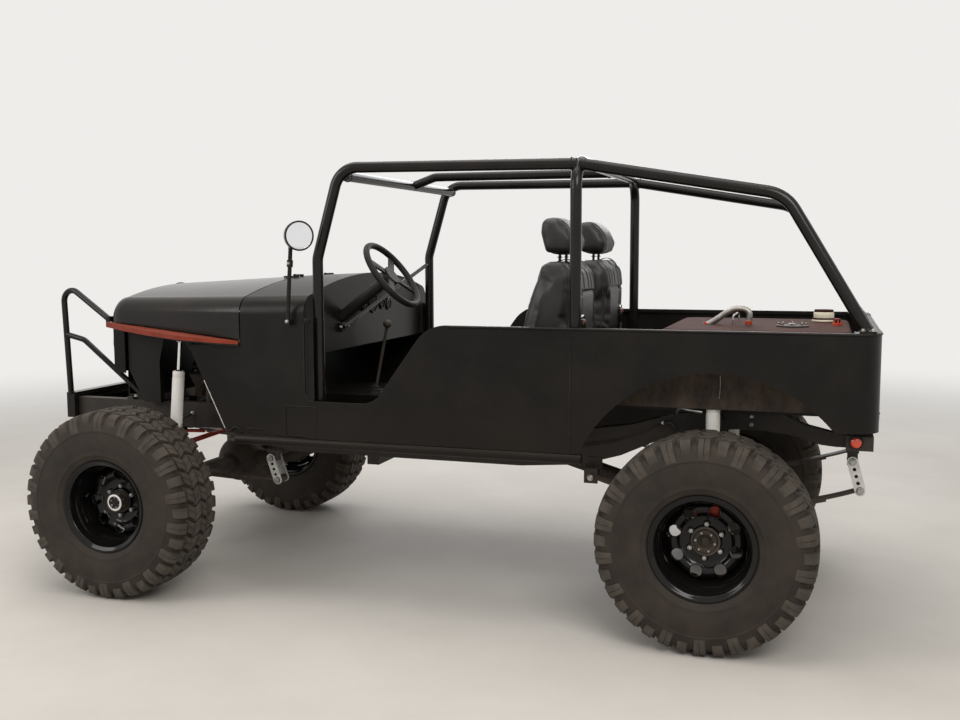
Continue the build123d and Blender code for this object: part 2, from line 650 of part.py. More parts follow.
def build_drag_link():
    left = (PITMAN_AT[0] + PITMAN_REACH[0], PITMAN_AT[1] + PITMAN_REACH[1], LINK_Z_LEFT)
    right = (KINGPIN_RIGHT[0] + PITMAN_REACH[0], KINGPIN_RIGHT[1] + PITMAN_REACH[1], LINK_Z_RIGHT)
    link = rod(left, right, 14)
    for x, y, z in (left, right):
        link += cyl_z(x, y, 21, z - 13, z + 13)
    for x, y, z in (left, right):
        link -= cyl_z(x, y, STUD_R + BORE_FIT, z - 40, z + 40)
    return link


STEER_RIM_R = 172.0
STEER_TUBE_R = 15.0
STEER_SPOKES = [35, 145, 215, 325]


def build_steering_wheel():
    """Four flat spokes between a thick rim and a padded hub."""
    wheel = Torus(STEER_RIM_R, STEER_TUBE_R)
    for angle in STEER_SPOKES:
        wheel += Rot(0, 0, angle) * Pos(STEER_RIM_R / 2, 0, -7) * Box(STEER_RIM_R - 6, 32, 10)
    wheel += Pos(0, 0, -10) * Cylinder(46, 26)
    wheel += Pos(0, 0, -24) * Cylinder(17, 14)
    wheel -= Pos(0, 0, -26) * Cylinder(SPINDLE_R, 14)
    at = Plane(origin=WHEEL_POS, x_dir=(0, 1, 0), z_dir=tuple(-d for d in COLUMN_DIR))
    return at * wheel


# Drive train
OUTPUT_FRONT = (350.0, -230.0, 700.0)
OUTPUT_REAR = (-40.0, 0.0, 740.0)
PINION_FRONT = (AXLE_X - 215, -205.0, HUB_Z + 12)
ENGINE_X = AXLE_X - 202.5
PINION_REAR = (-AXLE_X + 235, 0.0, HUB_Z + 20)


def build_engine():
    """Engine, gearbox and transfer case as one closed unit."""
    ex = ENGINE_X
    unit = box(ex - 260, ex + 260, -150, 150, 700, 930)
    unit += box(ex - 240, ex + 10, -120, 120, 640, 702)
    for side in (-1, 1):
        unit += Pos(ex, side * 140, 960) * Rot(side * -38, 0, 0) * Box(470, 150, 120)
    unit += box(ex - 180, ex + 190, -90, 90, 920, 1090)
    unit += cyl_z(ex + 5, 0, 150, 1088, 1150)
    unit += cyl_x(0, 730, 80, ex + 258, ex + 290)
    unit += both(box(ex - 30, ex + 40, 140, FRAME_IN - SEAT_GAP, 762, 800))
    unit += Pos(ex - 327, 0, 770) * Rot(0, 90, 0) * Cone(110, 150, 136)
    unit += box(300, ex - 390, -110, 110, 660, 850)
    unit += box(40, 305, -300, 110, 640, 830)
    unit += box(225, 275, -60, 60, GEARBOX_SEAT_Z + SEAT_GAP, 662)
    unit += cyl_x(OUTPUT_REAR[1], OUTPUT_REAR[2], 52, OUTPUT_REAR[0], 45)
    unit += cyl_x(OUTPUT_FRONT[1], OUTPUT_FRONT[2], 46, 300, OUTPUT_FRONT[0])
    unit += rod((420, 20, 845), (330, 45, 1230), 8) + Pos(330, 45, 1232) * Sphere(22)
    unit += rod((160, -120, 825), (150, -130, 1120), 7) + Pos(150, -130, 1122) * Sphere(18)
    return unit


def shaft(start, end, radius):
    """Drive shaft: a flange on each end face, a joint and the tube between them."""
    way = 1 if end[0] > start[0] else -1
    a = Vector(start[0] + way * 48, start[1], start[2])
    b = Vector(end[0] - way * 48, end[1], end[2])
    body = rod(tuple(a), tuple(b), radius)
    for (x, y, z), joint in ((start, a), (end, b)):
        inward = 1 if joint.X > x else -1
        body += cyl_x(y, z, 44, x, x + inward * 12)
        body += cyl_x(y, z, 24, x + inward * 10, joint.X)
        body += Pos(joint.X, joint.Y, joint.Z) * Sphere(radius + 6)
    return body


# Cowl and hood: sections with a lower edge, a shoulder, a roof edge and a crown
DASH_X = COWL_BACK_X
NOSE_X = GRILLE_FRONT_X - 18.0


def body_section(x, half, low, shoulder, edge_in, edge_z, crown, grow=0.0):
    """Cross-section face of cowl or hood; grow moves it inwards when negative."""
    h = half + grow
    e = edge_in + grow
    mid_y = half - (half - edge_in) * 0.24 + grow
    mid_z = shoulder + (edge_z - shoulder) * 0.66 + grow * 0.6
    pts = {
        "a": (x, -h, low), "b": (x, -h, shoulder), "bm": (x, -mid_y, mid_z),
        "c": (x, -e, edge_z + grow), "top": (x, 0, crown + grow),
        "d": (x, e, edge_z + grow), "dm": (x, mid_y, mid_z), "e": (x, h, shoulder), "f": (x, h, low),
    }
    edge = Curve() + [
        Line(pts["a"], pts["b"]),
        ThreePointArc(pts["b"], pts["bm"], pts["c"]),
        ThreePointArc(pts["c"], pts["top"], pts["d"]),
        ThreePointArc(pts["d"], pts["dm"], pts["e"]),
        Line(pts["e"], pts["f"]),
        Line(pts["f"], pts["a"]),
    ]
    return make_face(edge)


def section_row(half, low, shoulder, edge_out, edge_up, crown_up):
    """One section: its roof edge lies inside the half width, its heights above the shoulder."""
    return {"half": half, "low": low, "shoulder": shoulder, "edge_in": half - edge_out,
            "edge_z": shoulder + edge_up, "crown": shoulder + crown_up}


COWL_LOW = TUB_LOW + 5.0
COWL_FRONT_HALF = BODY_HALF - 26.0
COWL_BACK = section_row(BODY_HALF, COWL_LOW, RAIL_TOP + 28, 78, 95, 180)
COWL_FRONT = section_row(COWL_FRONT_HALF, COWL_LOW, RAIL_TOP + 18, 76, 95, 174)
HOOD_LOW = RAIL_TOP - 85.0

# Hood sections from the cowl to the rounded nose, x measured back from the nose
HOOD_ROWS = [
    dict(section_row(COWL_FRONT_HALF, HOOD_LOW, RAIL_TOP + 18, 76, 95, 174),
         back=NOSE_X - COWL_FRONT_X - SWING_GAP),
    dict(section_row(550.5, HOOD_LOW + 50.6, RAIL_TOP + 9, 79.6, 85, 138.7), back=82.0),
    dict(section_row(541, HOOD_LOW + 53, RAIL_TOP + 7, 82, 81, 134), back=47.0),
    dict(section_row(529, HOOD_LOW + 55, RAIL_TOP + 1, 84, 71, 122), back=20.0),
    dict(section_row(518, HOOD_LOW + 56, RAIL_TOP - 7, 87, 57, 106), back=5.0),
    dict(section_row(509, HOOD_LOW + 57, RAIL_TOP - 15, 90, 45, 91), back=0.0),
]


def skin(x0, row0, x1, row1, grow=0.0):
    """Solid loft between two sections."""
    return loft([body_section(x0, grow=grow, **row0), body_section(x1, grow=grow, **row1)])


def lowered(row, by):
    return dict(row, low=row["low"] - by)


def hood_solid(grow=0.0, reach=0.0, by=0.0):
    """Hood body; reach runs past both ends and by lowers the lower edge."""
    faces = []
    for n, row in enumerate(HOOD_ROWS):
        shape = dict(lowered(row, by))
        x = NOSE_X - shape.pop("back")
        if n == 0:
            x -= reach
        if n == len(HOOD_ROWS) - 1:
            x += reach
        faces.append(body_section(x, grow=grow, **shape))
    return loft(faces[:2]) + loft(faces[1:])


def cowl_solid(grow=0.0):
    return skin(COWL_BACK_X, COWL_BACK, COWL_FRONT_X, COWL_FRONT, grow)


# Tub
ARCH = (-AXLE_X - 20.0, 525.0, 590.0)
STEP_X = -AXLE_X + 742.5
WHEELHOUSE_R = ARCH[2] + 10.0
WHEELHOUSE_Y = 480.0
SKIRT_Y = 572.0
SKIRT_LOW = BED_Z + 20.0
GATE_HALF = 520.0
CORNER_R = 100.0
DOOR_SILL_Z = BED_Z + 5.0
DOOR_POST_X = COWL_BACK_X - 35.0
REAR_LOW = BED_Z - 25.0


def tub_plan(inset):
    """Outline of the open tub, seen from above."""
    x0 = TUB_REAR + inset
    r = CORNER_R - inset
    h = BODY_HALF - inset
    edge = Curve() + [
        Line((COWL_BACK_X, -h), (x0 + r, -h)),
        ThreePointArc((x0 + r, -h), (x0 + r * (1 - math.sqrt(0.5)), -h + r * (1 - math.sqrt(0.5))),
                      (x0, -h + r)),
        Line((x0, -h + r), (x0, h - r)),
        ThreePointArc((x0, h - r), (x0 + r * (1 - math.sqrt(0.5)), h - r * (1 - math.sqrt(0.5))),
                      (x0 + r, h)),
        Line((x0 + r, h), (COWL_BACK_X, h)),
        Line((COWL_BACK_X, h), (COWL_BACK_X, -h)),
    ]
    return make_face(edge)


def wall_band(inset, depth, z0, z1):
    """Closed band that follows the tub outline."""
    outer = Pos(0, 0, z0) * extrude(tub_plan(inset), amount=z1 - z0)
    inner = Pos(0, 0, z0 - 1) * extrude(tub_plan(inset + depth), amount=z1 - z0 + 2)
    return outer - inner - box(COWL_BACK_X - depth - 0.01, COWL_BACK_X + 5, -700, 700, z0 - 1, z1 + 1)


def door_cutter():
    """Opening with a sloped rear edge, through both sides."""
    y = BODY_HALF + 20
    sill = DOOR_SILL_Z
    above = RAIL_TOP + 30
    edge = Curve() + [
        Line((DOOR_POST_X, -y, sill), (150, -y, sill)),
        ThreePointArc((150, -y, sill), (92, -y, sill + 18), (52, -y, sill + 62)),
        Line((52, -y, sill + 62), (-110, -y, RAIL_TOP - 68)),
        ThreePointArc((-110, -y, RAIL_TOP - 68), (-168, -y, RAIL_TOP - 18), (-245, -y, RAIL_TOP)),
        Line((-245, -y, RAIL_TOP), (-245, -y, above)),
        Line((-245, -y, above), (DOOR_POST_X, -y, above)),
        Line((DOOR_POST_X, -y, above), (DOOR_POST_X, -y, sill)),
    ]
    return extrude(make_face(edge), amount=2 * y, dir=(0, 1, 0))


ROCKER_R = 22.5
TUNNEL_TOP = 880.0
DASH_LOW = 1130.0


def wheelhouse(radius, y0, y1):
    """Left wheelhouse block above the bed."""
    above_bed = box(TUB_REAR + SHEET, STEP_X, 0, y1 + 1, BED_Z - SHEET, RAIL_TOP)
    return cyl_y(ARCH[0], ARCH[1], radius, y0, y1) & above_bed


def build_tub():
    wide = BODY_HALF + 50
    shell = wall_band(0, SHEET, TUB_LOW, RAIL_TOP) + wall_band(0, 20, RAIL_TOP - 18, RAIL_TOP)
    shell -= box(TUB_REAR - 1, TUB_REAR + 190, -wide, wide, TUB_LOW - 1, REAR_LOW)
    shell -= cyl_y(ARCH[0], ARCH[1], ARCH[2], -wide, wide)
    shell -= box(TUB_REAR - 5, TUB_REAR + 25, -GATE_HALF, GATE_HALF, BED_Z + 3, RAIL_TOP + 5)
    shell -= door_cutter()

    # Floors, riser and centre tunnel
    inner = BODY_HALF - SHEET / 2
    wall_x = COWL_FRONT_X - 25
    shell += box(STEP_X, wall_x, -inner + 14, inner - 14, FLOOR_Z - SHEET, FLOOR_Z)
    shell += box(STEP_X, COWL_BACK_X, -inner, inner, FLOOR_Z - SHEET, FLOOR_Z)
    shell += box(STEP_X, STEP_X + SHEET, -inner, inner, FLOOR_Z - SHEET, BED_Z)
    bed = Pos(0, 0, BED_Z - SHEET) * extrude(tub_plan(SHEET / 2), amount=SHEET)
    shell += bed & box(TUB_REAR, STEP_X + SHEET, -wide, wide, BED_Z - 10, BED_Z + 10)
    shell += box(-60, wall_x, -330, 150, FLOOR_Z - SHEET, TUNNEL_TOP)

    # Wheelhouses
    shell += both(wheelhouse(WHEELHOUSE_R, WHEELHOUSE_Y, BODY_HALF - 1))
    well = both(cyl_y(ARCH[0], ARCH[1], WHEELHOUSE_R - SHEET, WHEELHOUSE_Y + SHEET, wide))
    side_keep = both(box(TUB_REAR - 20, 0, BODY_HALF - SHEET, wide, 0, 1400))
    shell -= well - (side_keep - cyl_y(ARCH[0], ARCH[1], ARCH[2], -wide, wide))
    skirt = wheelhouse(WHEELHOUSE_R - 1, SKIRT_Y, SKIRT_Y + SHEET)
    shell += both(skirt & box(TUB_REAR, STEP_X, 0, wide, SKIRT_LOW, RAIL_TOP))
    tunnel = box(-70, wall_x + 3, SHEET - 330, 150 - SHEET, FLOOR_Z - SHEET - 1, TUNNEL_TOP - SHEET)
    shell -= tunnel
    shell -= box(296, 440, 6, 84, 870, 885) + box(125, 185, -160, -90, 870, 885)

    # Cowl with firewall, dash and side panels that run on to the front arch
    outer = cowl_solid()
    inside = skin(COWL_BACK_X - 0.5, lowered(COWL_BACK, 30), COWL_FRONT_X + 0.5,
                  lowered(COWL_FRONT, 30), grow=-SHEET)
    cowl = outer - inside
    roof = COWL_BACK["crown"] + 10
    wall = box(wall_x - SHEET, wall_x, -wide, wide, FLOOR_Z - SHEET, roof) & outer
    dash = box(COWL_BACK_X, COWL_BACK_X + SHEET, -wide, wide, DASH_LOW, roof) & outer
    shell += cowl + (wall - tunnel) + dash
    lip = outer & box(COWL_BACK_X, COWL_BACK_X + 12, -wide, wide, DOOR_SILL_Z - 2, roof)
    row = lowered(COWL_BACK, 30)
    shell += lip - skin(COWL_BACK_X - 1, row, COWL_BACK_X + 13, row, grow=-14)
    edge_y = COWL_FRONT_HALF - SHEET
    wing = side_plate([(COWL_FRONT_X - 2, TUB_LOW - 15), (AXLE_X - 481.5, TUB_LOW + 17),
                       (AXLE_X - 297.5, HOOD_LOW - 32), (COWL_FRONT_X - 2, HOOD_LOW - 13)],
                      edge_y, COWL_FRONT_HALF)
    rocker = cyl_x(BODY_HALF - 15, TUB_LOW - 21, ROCKER_R, -AXLE_X + 510.5, COWL_FRONT_X + 23)
    post = box(DOOR_POST_X - 11, DOOR_POST_X + 1, BODY_HALF - 5, BODY_HALF, DOOR_SILL_Z - 2, RAIL_TOP + 18)
    shell += both(wing + rocker + post)

    # Openings in dash and firewall for the steering column and gear tunnel
    shell -= rod(along_column(240), along_column(600), JACKET_R + SEAT_GAP)
    shell -= rod(along_column(640), along_column(760), SHAFT_R + SEAT_GAP)
    pad = box(TUB_REAR + 20, TUB_REAR + 100, BODY_HALF - 105, BODY_HALF - 20, RAIL_TOP - 6, RAIL_TOP)
    shell += both(pad & extrude(tub_plan(SHEET / 2), amount=2000))
    return shell + tub_hinges()


# Hood and tailgate turn on pins held by the tub
HOOD_HINGE = {"x": COWL_FRONT_X + 3.0, "z": COWL_FRONT["crown"] + 4.0, "y0": 150.0, "y1": 190.0,
              "pin": 4.0, "barrel": 7.5}
GATE_HINGE = {"x": GATE_PIN_X, "z": BED_Z + 5.0, "y0": 330.0, "y1": 380.0, "pin": 4.0, "barrel": GATE_BARREL_R}


def hinge_pin(row):
    """Pin through the barrel."""
    return cyl_y(row["x"], row["z"], row["pin"] - BORE_FIT, row["y0"] - 8, row["y1"] + 8)


def hinge_barrel(row):
    """Barrel between the ears, without its bore."""
    return cyl_y(row["x"], row["z"], row["barrel"], row["y0"], row["y1"])


def tub_hinges():
    """Ears and pins for the hood at the cowl and for the tailgate at the sill."""
    hood = hinge_pin(HOOD_HINGE)
    gate = hinge_pin(GATE_HINGE)
    for y in (HOOD_HINGE["y0"] - 8, HOOD_HINGE["y1"] + 1):
        x, z = HOOD_HINGE["x"], HOOD_HINGE["z"]
        hood += box(x - 26, x - 8, y, y + 7, z - 16, z + 5) + box(x - 10, x + 5, y, y + 7, z - 4.5, z + 5)
    for y in (GATE_HINGE["y0"] - 8, GATE_HINGE["y1"] + 1):
        gate += box(GATE_HINGE["x"] - 5, TUB_REAR + 1, y, y + 7, BED_Z - 20, GATE_HINGE["z"] + 4.5)
    return both(hood + gate)


def build_tailgate():
    low = BED_Z + 12
    side = GATE_HALF - SWING_GAP
    gate = box(TUB_REAR, TUB_REAR + 20, -side, side, low, RAIL_TOP - 2)
    gate -= box(TUB_REAR + SHEET, TUB_REAR + 21, -side + 20, side - 20, low + 20, RAIL_TOP - 22)
    row = GATE_HINGE
    leaf_plate = box(row["x"] - 2, TUB_REAR + 1, row["y0"] + 1, row["y1"] - 1, row["z"], low + 50)
    gate += both(leaf_plate + hinge_barrel(row))
    return gate - both(cyl_y(row["x"], row["z"], row["pin"], row["y0"] - 2, row["y1"] + 2))


def build_hood():
    hood = hood_solid() - hood_solid(grow=-SHEET, reach=1, by=40)
    back = COWL_FRONT_X + SWING_GAP
    row = HOOD_HINGE
    leaf_plate = box(row["x"] + 1, back + 60, row["y0"] + 1, row["y1"] - 1, row["z"] - 12, row["z"] - 3)
    hood += both(leaf_plate + hinge_barrel(row))
    return hood - both(cyl_y(row["x"], row["z"], row["pin"], row["y0"] - 2, row["y1"] + 2))


SLOT_PITCH = 55.0
SLOTS = 9
LAMP_Y = 370.0
LAMP_Z = GRILLE_LOW + 282.0
HEADLAMP_R = 96.0


def build_grille():
    """Grille shell notched over the rails, with slots, lamps and the radiator behind."""
    deep = GRILLE_FRONT_X - GRILLE_BACK_X
    outline = section_row(GRILLE_HALF, GRILLE_LOW, RAIL_TOP - 22, 84, 40, 83)
    shell = extrude(body_section(GRILLE_BACK_X, **outline), amount=deep, dir=(1, 0, 0))
    inner = dict(outline, low=GRILLE_LOW + 10)
    shell -= extrude(body_section(GRILLE_BACK_X - 5, grow=-5, **inner), amount=deep, dir=(1, 0, 0))
    shell -= both(box(GRILLE_BACK_X - 5, GRILLE_FRONT_X + 5, NOTCH_Y, 600, GRILLE_LOW - 5, NOTCH_Z))
    for k in range(SLOTS):
        y = SLOT_PITCH * (k - (SLOTS - 1) / 2)
        shell -= box(GRILLE_FRONT_X - 40, GRILLE_FRONT_X + 20, y - 14, y + 14, GRILLE_LOW + 92, RAIL_TOP - 37)
    for side in (-1, 1):
        shell += cyl_x(side * LAMP_Y, LAMP_Z, HEADLAMP_R, GRILLE_FRONT_X - 8, GRILLE_FRONT_X + 20)
        shell -= cyl_x(side * LAMP_Y, LAMP_Z, HEADLAMP_R - 12, GRILLE_FRONT_X + 10, GRILLE_FRONT_X + 40)
    core = box(GRILLE_BACK_X - 55, GRILLE_BACK_X + 5, -285, 285, GRILLE_LOW + 12, RAIL_TOP - 30)
    core += box(GRILLE_BACK_X - 55, GRILLE_FRONT_X - 2, -285, 285, GRILLE_LOW, GRILLE_LOW + 16)
    return shell + core


SHELF_BACK_X = COWL_FRONT_X + 8.0
SHELF_BACK_Z = RAIL_TOP - 92.0
SHELF_RISE = 59.0
LIP_DROP = 24.0
APRON_Y = 470.0


def shelf_z(x):
    """Top of the sloping fender shelf."""
    return SHELF_BACK_Z + (x - SHELF_BACK_X) * SHELF_RISE / (GRILLE_FRONT_X - SHELF_BACK_X)


def build_fender():
    """Left fender: sloped shelf, rolled lip and inner apron."""
    outline = [(SHELF_BACK_X, 640), (SHELF_BACK_X, COWL_FRONT_HALF + 9), (AXLE_X - 482.5, 752),
               (AXLE_X - 262.5, 762), (AXLE_X - 92.5, 712), (AXLE_X + 137.5, 624), (GRILLE_FRONT_X, 545),
               (GRILLE_FRONT_X, GRILLE_HALF), (GRILLE_BACK_X - 7, GRILLE_HALF), (GRILLE_BACK_X - 7, APRON_Y)]
    face = make_face(Polyline(*[(x, y, shelf_z(x)) for x, y in outline], close=True))
    shelf = extrude(face, amount=SHEET, dir=(0, 0, -1))
    lip = None
    for (xa, ya), (xb, yb) in zip(outline[1:6], outline[2:7]):
        za, zb = shelf_z(xa), shelf_z(xb)
        corners = [(xa, ya, za), (xb, yb, zb), (xb, yb, zb - LIP_DROP), (xa, ya, za - LIP_DROP)]
        strip = make_face(Polyline(*corners, close=True))
        way = Vector(yb - ya, xa - xb, 0).normalized()
        piece = extrude(strip, amount=SHEET, dir=tuple(way))
        lip = piece if lip is None else lip + piece
    front = GRILLE_BACK_X - 7
    rear = AXLE_X - 2.5
    apron = side_plate([(rear + 60, RAIL_FRONT_TOP + 1), (rear + 140, RAIL_FRONT_TOP + 1), (front, 1010),
                        (front, shelf_z(front) - 1), (rear, shelf_z(rear) - 1), (rear + 45, 1050)],
                       APRON_Y, APRON_Y + SHEET)
    apron += box(rear + 45, rear + 60, APRON_Y - 30, APRON_Y + SHEET, RAIL_FRONT_TOP, shelf_z(rear) - 14)
    strut = box(rear + 60, rear + 140, FRAME_IN + 10, APRON_Y + SHEET, RAIL_FRONT_TOP, RAIL_FRONT_TOP + 4)
    return shelf + lip + apron + strut


# Cage
CAGE_Y = BODY_HALF - 60.0
CAGE_TOP = 1962.0
FRONT_LEG_X = COWL_BACK_X - 46.0
HEADER_X = COWL_BACK_X - 188.0
HOOP_X = -AXLE_X + 550.5
STAY_X = TUB_REAR + 55.0


def build_cage():
    """Front legs and roof rails, rear hoop, rear stays, header, centre bar and dash bar."""
    hoop_top = CAGE_TOP + 4
    shoulder = (CAGE_Y - 30, CAGE_TOP - 11)
    side = bent_tube([(FRONT_LEG_X, CAGE_Y, FLOOR_Z + 6), (FRONT_LEG_X, CAGE_Y, 1566),
                      (HEADER_X + 26, CAGE_Y, CAGE_TOP), (HOOP_X + 5, *shoulder)], TUBE_CAGE, 110)
    hoop = bent_tube([(HOOP_X, CAGE_Y, BED_Z + 6), (HOOP_X, CAGE_Y, hoop_top), (HOOP_X, -CAGE_Y, hoop_top),
                      (HOOP_X, -CAGE_Y, BED_Z + 6)], TUBE_CAGE, 120)
    stay = bent_tube([(HOOP_X - 8, *shoulder), (TUB_REAR + 368, CAGE_Y - 22, CAGE_TOP - 151),
                      (STAY_X, CAGE_Y + 4, RAIL_TOP + 6)], TUBE_CAGE, 150)
    feet = box(FRONT_LEG_X - 54, FRONT_LEG_X + 54, CAGE_Y - 50, CAGE_Y + 32, FLOOR_Z, FLOOR_Z + 8)
    feet += box(HOOP_X - 54, HOOP_X + 54, CAGE_Y - 50, CAGE_Y + 52, BED_Z, BED_Z + 8)
    feet += box(STAY_X - 33, STAY_X + 29, CAGE_Y - 30, CAGE_Y + 38, RAIL_TOP, RAIL_TOP + 8)
    stay -= box(STAY_X - 75, STAY_X + 75, CAGE_Y - 90, CAGE_Y + 70, RAIL_TOP - 82, RAIL_TOP + 4)
    cage = hoop + both(side + stay + feet)
    header_z = CAGE_TOP - 38
    cage += rod((HEADER_X, -CAGE_Y, header_z), (HEADER_X, CAGE_Y, header_z), TUBE_CAGE - 2)
    cage += bent_tube([(HEADER_X, -100, header_z), (HEADER_X - 122, -100, CAGE_TOP + 6),
                       (HOOP_X, -100, CAGE_TOP + 2)], TUBE_CAGE - 2, 80)
    cage += rod((FRONT_LEG_X, -CAGE_Y, 1532), (DASH_X - 14, 372, DASH_LOW + 106), 11)
    cage += box(DASH_X - 16, DASH_X, 350, 394, DASH_LOW + 84, DASH_LOW + 128)
    return cage


# Fuel cell in the bed: places of its fittings count from its rear face
CELL_REAR = TUB_REAR + 100.0
CELL_LENGTH = 780.0
CELL_HALF = 430.0
CELL_TOP = RAIL_TOP - 20.0
FILLER_X = CELL_REAR + 115.0
SENDER_X = CELL_REAR + 245.0
VENT_X = CELL_REAR + 58.0
PIPE_X = CELL_REAR + CELL_LENGTH - 162.0


def build_fuel_cell():
    top = CELL_TOP
    cell = box(CELL_REAR, CELL_REAR + CELL_LENGTH, -CELL_HALF, CELL_HALF, BED_Z, top)
    cell = fillet(cell.edges().filter_by(Axis.Z), 70)
    cell = fillet(cell.faces().sort_by(Axis.Z)[-1].edges(), 18)
    cell += cyl_z(FILLER_X, -280, 52, top - 2, top + 16) + cyl_z(FILLER_X, -280, 43, top + 8, top + 54)
    cell += cyl_z(SENDER_X, 130, 70, top - 2, top + 4)
    for k in range(8):
        angle = math.radians(45 * k)
        cell += cyl_z(SENDER_X + 58 * math.cos(angle), 130 + 58 * math.sin(angle), 6, top + 2, top + 14)
    cell += cyl_z(VENT_X, 0, 16, top - 2, top + 28)
    cell += bent_tube([(PIPE_X, 60, top - 4), (PIPE_X - 113, 60, top + 68), (PIPE_X - 180, 60, top + 60),
                       (PIPE_X - 182, 60, top - 4)], 10, 14)
    return cell


# Seats
SEAT_Y = 350.0
SEAT_BASE_Z = FLOOR_Z + 60.0


def build_seat():
    """Left bucket seat: frame, cushion, back with shoulders and headrest."""
    base = box(-540, -130, SEAT_Y - 200, SEAT_Y + 200, SEAT_BASE_Z, SEAT_BASE_Z + 30)
    for x in (-520, -170):
        for y in (SEAT_Y - 190, SEAT_Y + 160):
            base += box(x, x + 30, y, y + 30, FLOOR_Z, SEAT_BASE_Z + 2)
    cushion = box(-590, -70, SEAT_Y - 245, SEAT_Y + 245, SEAT_BASE_Z + 30, SEAT_BASE_Z + 190)
    cushion = fillet(cushion.edges().filter_by(Axis.Y), 45)
    back = side_plate([(-590, 985), (-475, 985), (-590, 1545), (-625, 1570), (-715, 1570), (-762, 1500),
                       (-757, 1220)], SEAT_Y - 235, SEAT_Y + 235)
    back = fillet(back.edges().filter_by(Axis.Y), 28)
    rest = side_plate([(-715, 1592), (-600, 1592), (-582, 1690), (-592, 1742), (-658, 1742), (-734, 1640)],
                      SEAT_Y - 140, SEAT_Y + 140)
    rest = fillet(rest.edges().filter_by(Axis.Y), 20)
    posts = rod((-655, SEAT_Y - 60, 1560), (-655, SEAT_Y - 60, 1610), 8)
    posts += rod((-655, SEAT_Y + 60, 1560), (-655, SEAT_Y + 60, 1610), 8)
    return base + cushion + back + rest + posts


# Round mirror on a tall stem, turned out towards the driver
MIRROR_AT = (418.0, BODY_HALF + 50, 1665.0)
MIRROR_R = 64.0
STEM_X = COWL_BACK_X + 68.0
STEM_R = 8.0


def build_mirror():
    head = Plane(origin=MIRROR_AT, z_dir=(-0.72, 0.69, 0)) * Cylinder(MIRROR_R, 20)
    low = (STEM_X, BODY_HALF + 18, RAIL_TOP + 2)
    high = (STEM_X - 24, BODY_HALF + 22, 1612)
    stem = rod(low, high, STEM_R) + Pos(*high) * Sphere(STEM_R + 2)
    stem += rod(high, (MIRROR_AT[0] + 12, MIRROR_AT[1] - 8, MIRROR_AT[2] - 13), STEM_R - 1)
    foot = box(STEM_X - 12, STEM_X + 12, BODY_HALF - 20, BODY_HALF + 26, RAIL_TOP - 10, RAIL_TOP + 12)
    return head + stem + (foot - cowl_solid(SEAT_GAP))


# Write every node
save("frame", build_frame())
save("front_bumper", build_bumper())
save("front_axle", build_front_axle())
save("rear_axle", build_rear_axle())

for row in SPRINGS:
    spring = build_spring(row)
    shackle = build_shackle(row)
    save(f"spring_{row['end']}_left", spring)
    save(f"spring_{row['end']}_right", mirrored(spring))
    save(f"shackle_{row['end']}_left", shackle)
    save(f"shackle_{row['end']}_right", mirrored(shackle))

for row in SHOCKS:
    shock = build_shock(row)
    save(f"shock_{row['end']}_left", shock)
    save(f"shock_{row['end']}_right", mirrored(shock))

knuckle = build_knuckle()
save("knuckle_left", knuckle)
save("knuckle_right", mirrored(knuckle) + build_drag_arm())

rim = build_rim()
tyre = build_tyre()
for end, x, y in (("front", AXLE_X, HUB_Y_FRONT), ("rear", -AXLE_X, HUB_Y_REAR)):
    for name, side in (("left", 1), ("right", -1)):
        save(f"rim_{end}_{name}", place(rim, x, y, side))
        save(f"tyre_{end}_{name}", place(tyre, x, y, side))

save("tie_rod", build_tie_rod())
save("pitman_arm", build_pitman())
save("drag_link", build_drag_link())
save("steering_column", build_column())
save("steering_wheel", build_steering_wheel())
save("engine", build_engine())
save("front_shaft", shaft(OUTPUT_FRONT, PINION_FRONT, 28))
save("rear_shaft", shaft(OUTPUT_REAR, PINION_REAR, 34))
save("tub", build_tub())
save("tailgate", build_tailgate())
save("hood", build_hood())
save("grille", build_grille())
fender = build_fender()
save("fender_left", fender)
save("fender_right", mirrored(fender))
save("cage", build_cage())
save("fuel_cell", build_fuel_cell())
seat = build_seat()
save("seat_left", seat)
save("seat_right", mirrored(seat))
save("mirror", build_mirror())
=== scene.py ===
import math
import random

import bmesh
import bpy
from mathutils import Matrix, Vector
from mathutils.bvhtree import BVHTree


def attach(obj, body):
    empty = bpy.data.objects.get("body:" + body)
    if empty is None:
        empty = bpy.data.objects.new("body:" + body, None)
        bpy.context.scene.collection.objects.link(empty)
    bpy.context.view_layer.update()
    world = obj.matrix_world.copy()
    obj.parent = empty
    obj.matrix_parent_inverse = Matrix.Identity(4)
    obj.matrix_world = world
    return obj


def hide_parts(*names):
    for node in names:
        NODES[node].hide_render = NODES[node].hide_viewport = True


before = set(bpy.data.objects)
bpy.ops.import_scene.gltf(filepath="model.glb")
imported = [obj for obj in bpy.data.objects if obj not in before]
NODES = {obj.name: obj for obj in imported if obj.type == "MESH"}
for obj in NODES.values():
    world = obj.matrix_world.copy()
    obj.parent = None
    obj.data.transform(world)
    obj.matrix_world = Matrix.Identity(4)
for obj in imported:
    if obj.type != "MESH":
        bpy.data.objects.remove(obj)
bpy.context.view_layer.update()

# Stations are millimetres from midway between the axles; the frame is 12 mm further back
SHIFT_X = 12.0
AXLE_X = 1342.5
HUB_Z = 437.5
HUB_Y = {"front": 865.0, "rear": 735.0}
SIDES = (("left", 1), ("right", -1))
WAYS = (1, -1)
AHEAD, BACK_WAY, ACROSS, UP = (1, 0, 0), (-1, 0, 0), (0, 1, 0), (0, 0, 1)
TINY = 0.01
RNG = random.Random(7)


def at(x, y, z):
    """Station in millimetres to frame metres."""
    return Vector(((x + SHIFT_X) / 1000, y / 1000, z / 1000))


def sided(points, way):
    """Points of the left side on the side that way, 1 or -1, stands for."""
    return [(x, way * y, z) for x, y, z in points]


